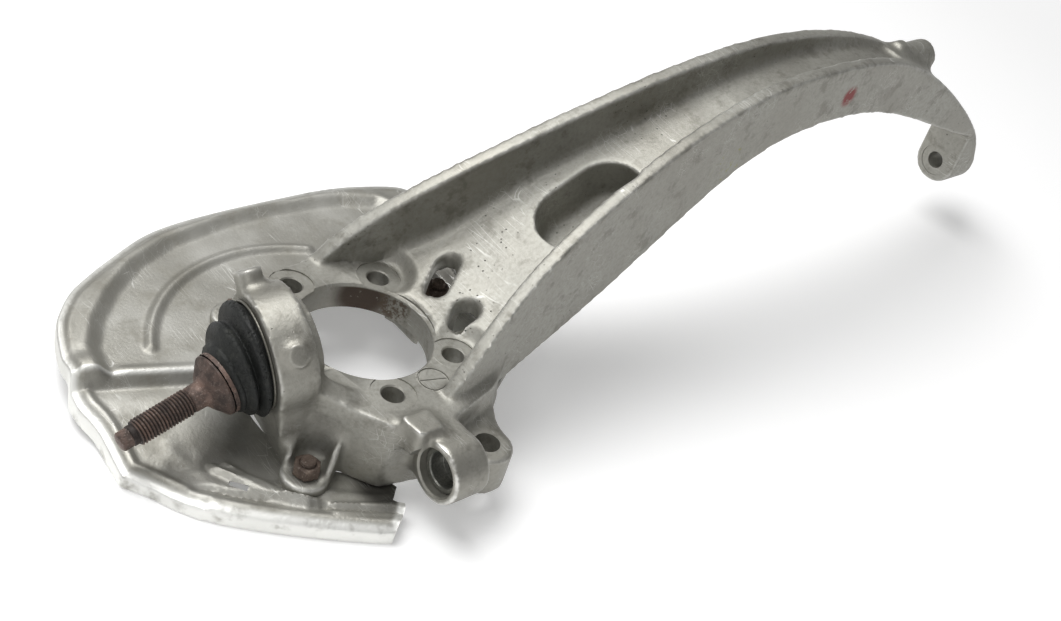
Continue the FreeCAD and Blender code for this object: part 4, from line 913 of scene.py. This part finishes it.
def shield_height(points):
    """Height of the sheet's upper face at each plan point, in millimetres."""
    ridge = RIDGE_END - RIDGE_START
    ridge /= np.linalg.norm(ridge)
    past = (points - RIDGE_START) @ np.array([ridge[1], -ridge[0]])
    along = (points - RIDGE_START) @ ridge
    arcs = [smooth_path(arc, 4.0) for arc in (FAR_ARC, NEAR_LEFT, FRONT_ARC)]
    outer, left, front = (nearest(points, arc)[0] for arc in arcs)
    far = far_height(points, past, along, outer)
    near = near_height(points, past, outer, left, front)
    height = far + (near - far) * smoothstep(0.0, 6.5, past)
    height += 0.4 * wander(points, 42.0, 1.1) + 0.07 * wander(points, 13.0, 5.7)
    rounding = np.minimum(np.minimum(outer, left), front)
    fold = 1.3
    height -= fold - np.sqrt(np.maximum(fold ** 2 - np.clip(fold - rounding, 0.0, fold) ** 2, 0.0))
    return height


def shield_outline(step):
    """The outline as plan points, and for each point whether the lip runs on from it."""
    start = math.atan2(-50.0, -40.0) + 2 * math.pi
    end = math.asin(5.0 / HUB_GAP_R)
    count = round((start - end) * HUB_GAP_R / step)
    arc = []
    for k in range(count + 1):
        turn = start + (end - start) * k / count
        arc.append(np.array([HUB_GAP_R * math.cos(turn), HUB_GAP_R * math.sin(turn)]))
    parts = [
        (smooth_path(FAR_ARC, step), True),
        (smooth_path(NEAR_LEFT, step), True),
        (straight_path([NEAR_LEFT[-1], FRONT_ARC[0]], step), True),
        (smooth_path(FRONT_ARC, step), True),
        (smooth_path(OPEN_END, step), True),
        (straight_path(INNER_EDGE, step), False),
        (arc, False),
        (straight_path([arc[-1], FAR_ARC[0]], step), False),
    ]
    points = []
    lips = []
    for path, lip in parts:
        points += path[:-1]
        lips += [lip] * (len(path) - 1)
    return np.array(points), np.array(lips)


def loop_normals(points):
    """Inward direction at each point of a loop that runs anticlockwise."""
    along = np.roll(points, -1, 0) - np.roll(points, 1, 0)
    along /= np.linalg.norm(along, axis=1)[:, None]
    return np.stack([-along[:, 1], along[:, 0]], 1)


def shield_holes(step):
    loops = [straight_path(DRAIN_SLOT + DRAIN_SLOT[:1], step)[:-1]]
    for x, y in SHIELD_BOLTS:
        loops.append([np.array([x + 4.3 * math.cos(t), y + 4.3 * math.sin(t)]) for t in turns(20)])
    return loops


def loop_links(loops):
    """Edges along each loop, the points numbered one loop after another."""
    links = []
    first = 0
    for loop in loops:
        links += [(first + k, first + (k + 1) % len(loop)) for k in range(len(loop))]
        first += len(loop)
    return links


def plan_points(outline, lips, holes, step):
    """The outline, the holes, two rows of points beside the lip, and an even grid inside."""
    points = [outline] + [np.array(loop) for loop in holes]
    inward = loop_normals(outline)
    flagged = lips & np.roll(lips, 1)
    for offset in (0.45, 1.1):
        points.append(outline[flagged] + inward[flagged] * offset)
    low, high = outline.min(0), outline.max(0)
    xs, ys = np.meshgrid(np.arange(low[0], high[0], step), np.arange(low[1], high[1], step * 0.87))
    xs = xs + (np.arange(len(ys)) % 2 * step / 2)[:, None]
    grid = np.stack([xs.ravel(), ys.ravel()], 1)
    grid = grid[inside(grid, list(outline))]
    keep = nearest(grid, list(outline) + [outline[0]])[0] > 2.1
    for hole in holes:
        keep &= nearest(grid, hole + hole[:1])[0] > 1.0
        keep &= ~inside(grid, hole)
    points.append(grid[keep])
    return np.concatenate(points)


def make_shield():
    outline, lips = shield_outline(SHEET_STEP)
    holes = shield_holes(1.5)
    flat = plan_points(outline, lips, holes, SHEET_STEP)
    links = loop_links([outline] + holes)
    flat_points, _, faces, _, _, _ = delaunay_2d_cdt([Vector(p) for p in flat], links, [], 0, 1e-6)
    plan = np.array([tuple(p) for p in flat_points])
    middles = np.array([plan[list(f)].mean(0) for f in faces])
    use = inside(middles, list(outline))
    for hole in holes:
        use &= ~inside(middles, hole)
    faces = [f for f, good in zip(faces, use) if good]
    return sheet_object(plan, faces, list(outline) + [outline[0]], lips)


def upward_normals(tops, faces):
    """Normals of the upper face, one for each point."""
    normals = np.zeros_like(tops)
    for face in faces:
        a, b, c = (tops[k] for k in face[:3])
        normals[list(face)] += np.cross(b - a, c - a)
    normals[normals[:, 2] < 0] *= -1
    return normals / np.maximum(np.linalg.norm(normals, axis=1), 1e-9)[:, None]


def under_face(tops, faces, gap, away, on_lip, rim):
    """Points of the lower face, drawn in beside the lip to keep its thickness."""
    shift = np.where(gap < 1.6, np.maximum(0.0, SHEET + 0.15 * gap - gap), 0.0)
    shift[:rim][~on_lip[:rim]] = 0.0
    beside = gap < 2.5
    unders = tops - upward_normals(tops, faces) * SHEET
    unders[beside, :2] = tops[beside, :2]
    unders[:, :2] += away * shift[:, None]
    unders[beside, 2] = tops[beside, 2] - SHEET
    unders[:rim, 2] = tops[:rim, 2] - SHEET * 0.6
    return unders


def lip_points(tops, away, on_lip, first):
    """The lip's lower edge: an outer and an inner point at each place."""
    verts = []
    low_ring = {}
    for k in np.flatnonzero(on_lip):
        low = tops[k].copy()
        low[2] = max(low[2] - LIP + 0.5 * noise.noise(Vector(low * 0.05)), LIP_LOWEST)
        low_ring[int(k)] = first + len(verts)
        verts += [low, low + np.array([*away[k] * SHEET, 0.0])]
    return verts, low_ring


def side_faces(faces, count, rim, lips, low_ring):
    """Faces of the lip and of the cut edges."""
    edges = dict.fromkeys((a, b) for face in faces for a, b in zip(face, face[1:] + face[:1]))
    sides = []
    for a, b in edges:
        if (b, a) in edges:
            continue
        low = min(a, b) if abs(a - b) == 1 else max(a, b)
        if a < rim and b < rim and lips[low]:
            oa, ob = low_ring[a], low_ring[b]
            sides += [(b, a, oa, ob), (ob, oa, oa + 1, ob + 1), (ob + 1, oa + 1, count + a, count + b)]
        else:
            sides.append((b, a, count + a, count + b))
    for k in (0, int(np.argmin(lips))):
        sides.append((k, count + k, low_ring[k] + 1, low_ring[k]))
    return sides


def sheet_highlight(spots, lip_path):
    """How much painted highlight each point gets: the lip most of all, then the ridge's crest."""
    x, y = spots.T
    edge_gap, _ = nearest(spots, lip_path)
    near_side = smoothstep(-6.0, 12.0, (RIDGE_START[1] - y) - (x - RIDGE_START[0]) * RIDGE_FALL)
    wear_and_sheen = smoothstep(7.0, 0.5, edge_gap) * (0.55 + 0.45 * near_side)
    crest, _ = nearest(spots, [RIDGE_START, RIDGE_END])
    return np.maximum(wear_and_sheen, 0.6 * mound(crest, 3.0))


def sheet_object(plan, faces, loop, lips):
    """The sheet as a closed solid: upper face, lower face, turned-down lip and cut edges."""
    count = len(plan)
    rim = len(lips)
    tops = np.column_stack([plan, shield_height(plan)])
    lip_path = loop[:int(np.argmin(lips)) + 1]
    gap, away = nearest(plan, lip_path)
    away[:rim] = loop_normals(np.array(loop[:-1]))
    on_lip = np.zeros(count, bool)
    on_lip[:rim] = lips | np.roll(lips, 1)
    unders = under_face(tops, faces, gap, away, on_lip, rim)
    lip_verts, low_ring = lip_points(tops, away, on_lip, 2 * count)
    verts = list(tops) + list(unders) + lip_verts
    mesh_faces = [tuple(f) for f in faces] + [tuple(count + k for k in reversed(f)) for f in faces]
    mesh_faces += side_faces(faces, count, rim, lips, low_ring)
    sheet = new_object("shield_sheet", verts, mesh_faces, IN_MM, MATERIALS["sheet_aluminium"], 42.0)
    spots = read(sheet.data.vertices, "co", 3) / MM
    # The lip and the ridge's crest get a painted highlight.
    write_values(sheet.data, "wear_and_sheen", sheet_highlight(spots[:, :2], lip_path))
    return sheet


shield = make_shield()
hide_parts("dust_shield")
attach(shield, "root")


# Rubber boot
BOOT_STEPS = 320
BOOT_ROWS = 100
BOOT_INNER_ROWS = 12
BOOT_WALL = 2.0
BOOT_INNER_R = 8.4
CRACKS = 58
BOOT_START = 11.5
BOOT_SPAN = 24.2
BOOT_PROFILE = [
    (0.0, 27.3), (0.06, 27.5), (0.10, 28.0), (0.14, 29.7), (0.19, 30.4), (0.25, 30.2), (0.30, 28.7),
    (0.345, 25.4), (0.38, 23.0), (0.41, 22.6), (0.45, 23.6), (0.51, 24.9), (0.59, 24.7), (0.66, 22.8),
    (0.715, 20.0), (0.75, 18.9), (0.79, 19.0), (0.84, 18.5), (0.89, 16.6), (0.94, 15.6), (1.0, 15.5),
]


def boot_point(share, radius, turn):
    """A point of the boot, whose centre line bends from the barrel's axis to the stud's."""
    bend = share * share * (3 - 2 * share)
    direction = (JOINT_AXIS * (1 - bend) + STUD_AXIS * bend).normalized()
    around = upright(direction) @ Vector((math.cos(turn), math.sin(turn), 0.0))
    return BALL + direction * (BOOT_START + share * BOOT_SPAN) + around * radius


def crack_depth(share, turn, cracks):
    """Depth of the cracks in the first fold, in millimetres."""
    depth = 0.0
    for at, lean, start, end, deep in cracks:
        if start < share < end:
            wiggle = 0.02 * noise.noise(Vector((share * 30.0, at * 9.0, 0.3)))
            gap = abs((turn - at - lean * (share - 0.2) - wiggle + math.pi) % (2 * math.pi) - math.pi)
            fade = math.sin(math.pi * (share - start) / (end - start))
            depth = max(depth, deep * fade * max(0.0, 1.0 - gap / 0.022))
    return depth


def profile_radius(share):
    """Radius on a smooth curve through the profile's points."""
    rows = BOOT_PROFILE
    k = max(i for i in range(len(rows) - 1) if rows[i][0] <= share)
    before, after = rows[max(k - 1, 0)], rows[min(k + 2, len(rows) - 1)]
    a, b = rows[k], rows[k + 1]
    t = (share - a[0]) / (b[0] - a[0])
    slope_a = (b[1] - before[1]) / max(b[0] - before[0], 1e-6) * (b[0] - a[0])
    slope_b = (after[1] - a[1]) / max(after[0] - a[0], 1e-6) * (b[0] - a[0])
    return ((2 * t ** 3 - 3 * t ** 2 + 1) * a[1] + (t ** 3 - 2 * t ** 2 + t) * slope_a
            + (3 * t ** 2 - 2 * t ** 3) * b[1] + (t ** 3 - t ** 2) * slope_b)


def boot_radius(share, turn, cracks):
    """The profile, made uneven, with cracks in the first fold and a ragged lip."""
    where = Vector((math.cos(turn) * 2.0, math.sin(turn) * 2.0, share * 5.0))
    radius = profile_radius(share)
    radius += 0.35 * noise.noise(where) + 0.12 * noise.noise(where * 5.0)
    radius -= crack_depth(share, turn, cracks)
    if share > 0.96:
        radius += (share - 0.96) / 0.04 * (1.2 + 1.1 * noise.noise(where * 7.0))
    return radius


def boot_cracks():
    """Cracks as angle, lean, start, end and depth."""
    rng = np.random.default_rng(SEED)
    cracks = []
    for _ in range(CRACKS):
        start = rng.uniform(0.07, 0.22)
        cracks.append((rng.uniform(0, 2 * math.pi), rng.uniform(-1.2, 1.2), start,
                       start + rng.uniform(0.06, 0.16), rng.uniform(0.5, 1.2)))
    return cracks


def make_boot():
    cracks = boot_cracks()
    verts = []
    for share in np.linspace(0.0, 1.0, BOOT_ROWS):
        verts += [boot_point(share, boot_radius(share, turn, cracks), turn) for turn in turns(BOOT_STEPS)]
    for share in np.linspace(1.0, 0.0, BOOT_INNER_ROWS):
        radius = min(r for s, r in BOOT_PROFILE if abs(s - share) < 0.12) - BOOT_WALL
        radius = max(BOOT_INNER_R, radius) if share < 0.8 else BOOT_INNER_R
        verts += [boot_point(share, radius, turn) for turn in turns(BOOT_STEPS)]
    faces = ring_faces(BOOT_ROWS + BOOT_INNER_ROWS, BOOT_STEPS, closed=True)
    boot = new_object("boot_bellows", verts, faces, IN_MM, MATERIALS["boot_rubber"], 60.0)
    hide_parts("boot")
    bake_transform(boot)


make_boot()


# Ball stud and fasteners
def hexagon_radius(turn, across):
    """Distance from the middle to a hexagon's side."""
    part = (turn + math.pi / 6) % (math.pi / 3) - math.pi / 6
    return across / 2 / math.cos(part)


def turned_surface(rows, steps, radius_at):
    """Points and faces of a surface round Z whose radius depends on height and angle."""
    verts = [(0.0, 0.0, rows[0])]
    for height in rows:
        for turn in turns(steps):
            radius = radius_at(height, turn)
            verts.append((radius * math.cos(turn), radius * math.sin(turn), height))
    verts.append((0.0, 0.0, rows[-1]))
    faces = ring_faces(len(rows), steps, 1)
    last = 1 + (len(rows) - 1) * steps
    for k in range(steps):
        n = (k + 1) % steps
        faces.append((0, 1 + n, 1 + k))
        faces.append((len(verts) - 1, last + k, last + n))
    return verts, faces


def thread_radius(height, turn, major, pitch, depth):
    """Radius of a right-handed thread with rounded roots and flat crests."""
    phase = (height / pitch - turn / (2 * math.pi)) % 1.0
    rise = abs(2 * phase - 1)
    return major - depth * min(1.0, max(0.0, 1.15 - 1.35 * rise))


THREAD_PITCH = 1.75
THREAD_R = 7.0
BALL_R = 12.5
BALL_TOP = 10.8
THREAD_START = 52.0
THREAD_END = 83.2
HEX_START = 86.0
STUD_END = 92.0
HEX_ACROSS = 9.0
# height and radius, from the ball's top to the thread
STUD_PROFILE = [
    (BALL_TOP, 6.3), (14.5, 6.5), (23.5, 8.0), (36.0, 8.0), (36.02, 15.9), (36.5, 16.5), (37.4, 16.5),
    (37.8, 16.1), (38.4, 15.4), (43.4, 9.6), (44.2, 8.2), (45.2, 7.1), (46.5, 6.8), (51.2, 6.7),
    (THREAD_START, 6.2),
]


def stud_radius(height, turn):
    if height <= BALL_TOP:
        return math.sqrt(max(BALL_R ** 2 - height ** 2, 0.04))
    if height < THREAD_START:
        return float(np.interp(height, *zip(*STUD_PROFILE)))
    if height < THREAD_END:
        fade = min(1.0, (height - THREAD_START) / 1.2, (THREAD_END - height) / 0.8)
        return 6.0 + (thread_radius(height, turn, THREAD_R, THREAD_PITCH, 1.0) - 6.0) * fade
    if height < HEX_START:
        return 5.4
    if height < HEX_START + 0.3:
        return 5.0 + (height - HEX_START)
    return min(hexagon_radius(turn, HEX_ACROSS), 4.1 + (STUD_END - height) * 1.4, 5.05)


def stud_rows():
    """Heights of the stud's rings of points."""
    rows = list(np.arange(-12.49, 12.0, 0.8)) + [h for h, _ in STUD_PROFILE[1:-1]]
    rows += list(np.arange(51.6, THREAD_END, 0.15)) + [THREAD_END, 83.4, 85.8, HEX_START, 86.3]
    rows += list(np.arange(86.6, 91.0, 0.4)) + [91.2, 91.4, 91.6, 91.8, STUD_END]
    return sorted(set(round(float(r), 3) for r in rows))


def stud_shade(heights, radii):
    """1 in the thread's roots and in the groove: painted shade there, along with the rust and dirt that stay
    dark.
    """
    root = smoothstep(6.9, 6.1, radii) * ((heights > 52.2) & (heights < 83.3))
    root = np.maximum(root, (heights > 83.3) & (heights < 86.2))
    return np.maximum(root, 0.55 * ((heights > 35.9) & (heights < 44.5) & (radii > 9.5)))


def make_stud():
    verts, faces = turned_surface(stud_rows(), 96, stud_radius)
    stud = new_object("ball_stud_turned", verts, faces, ON_STUD, MATERIALS["stud_steel"], 38.0)
    to_stud = ON_STUD.inverted()
    points = np.array([tuple(to_stud @ vertex.co) for vertex in stud.data.vertices])
    write_values(stud.data, "root", stud_shade(points[:, 2], np.hypot(points[:, 0], points[:, 1])))
    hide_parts("ball_stud")
    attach(stud, "stud")


WRENCH = 13.0
NUT_HEIGHT = 6.8
NUT_BORE_R = 4.02
SHANK_R = 3.95
BOLT_END = 18.2
BOLT_PITCH = 1.25
# name, place and height of the sheet's upper face there
FASTENERS = [
    ("front", SHIELD_BOLTS[0], -44.0),
    ("rear", SHIELD_BOLTS[1], FAR_LEVEL),
    ("top", SHIELD_BOLTS[2], FAR_LEVEL),
]


def nut_mesh(across, height, bore):
    """A hexagonal nut with both ends turned to a cone, and a chamfered bore."""
    steps = 96
    top = height
    levels = [(0.0, 0.93), (0.35, 1.0), (0.8, 1.16), (top - 0.8, 1.16), (top - 0.35, 1.0), (top, 0.92)]
    verts = []
    for level, share in levels:
        for turn in turns(steps):
            radius = min(hexagon_radius(turn, across), across / 2 * share)
            verts.append((radius * math.cos(turn), radius * math.sin(turn), level))
    inner = ((bore + 0.7, top), (bore, top - 0.6), (bore, 0.6), (bore + 0.7, 0.0))
    for radius, level in inner:
        verts += ring(radius, level, steps)
    return verts, ring_faces(len(levels) + len(inner), steps, closed=True)


def bolt_radius(height, turn):
    """A bolt: hexagon with a cone under height 0, then shank and thread."""
    if height < -4.5:
        return min(hexagon_radius(turn, WRENCH), 6.0 + (height + 5.3) * 1.3)
    if height < -0.8:
        return hexagon_radius(turn, WRENCH)
    if height < 0.0:
        return min(hexagon_radius(turn, WRENCH), 6.4 - (height + 0.8) * 0.4)
    if height < 13.0:
        return SHANK_R
    return min(thread_radius(height, turn, 3.98, BOLT_PITCH, 0.6), 3.2 + (BOLT_END - height) * 0.9)


def make_fasteners():
    steel = MATERIALS["rusty_fastener"]
    rows = [-5.3, -5.0, -4.7, -4.5, -0.8, -0.4, -0.02, 0.0, 2.0, 13.0]
    rows += [float(h) for h in np.arange(13.2, BOLT_END, 0.15)] + [BOLT_END]
    bolt_shape = turned_surface(rows, 96, bolt_radius)
    nut_shape = nut_mesh(WRENCH, NUT_HEIGHT, NUT_BORE_R)
    for number, (name, (x, y), floor) in enumerate(FASTENERS):
        spin = Matrix.Rotation(0.35 + 0.8 * number, 3, "Z")
        bolt = new_object("bolt_" + name, *bolt_shape, place((x, y, floor - SHEET), spin), steel, 32.0)
        nut = new_object("nut_" + name, *nut_shape, place((x, y, floor + 7.0), spin), steel, 32.0)
        for piece, node in ((bolt, "shield_bolt_" + name), (nut, "shield_nut_" + name)):
            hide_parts(node)
            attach(piece, "root")


SLEEVE_PLACE = place((-18, -91, -16), ALONG_X)


def make_sleeve():
    """The steel sleeve in the tie-rod boss, chamfered at both ends."""
    profile = [
        (9.6, 5.6), (10.1, 5.0), (12.4, 5.0), (12.98, 5.6), (12.98, 17.4), (12.4, 17.98), (10.0, 17.98),
        (9.5, 17.4), (9.5, 14.0), (9.8, 13.8), (9.8, 13.2), (9.5, 13.0), (9.5, 6.0),
    ]
    verts, faces = lathe(profile, 80, True)
    sleeve = new_object("sleeve_turned", verts, faces, SLEEVE_PLACE, MATERIALS["sleeve_steel"], 30.0)
    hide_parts("tie_rod_sleeve")
    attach(sleeve, "root")


make_stud()
make_fasteners()
make_sleeve()
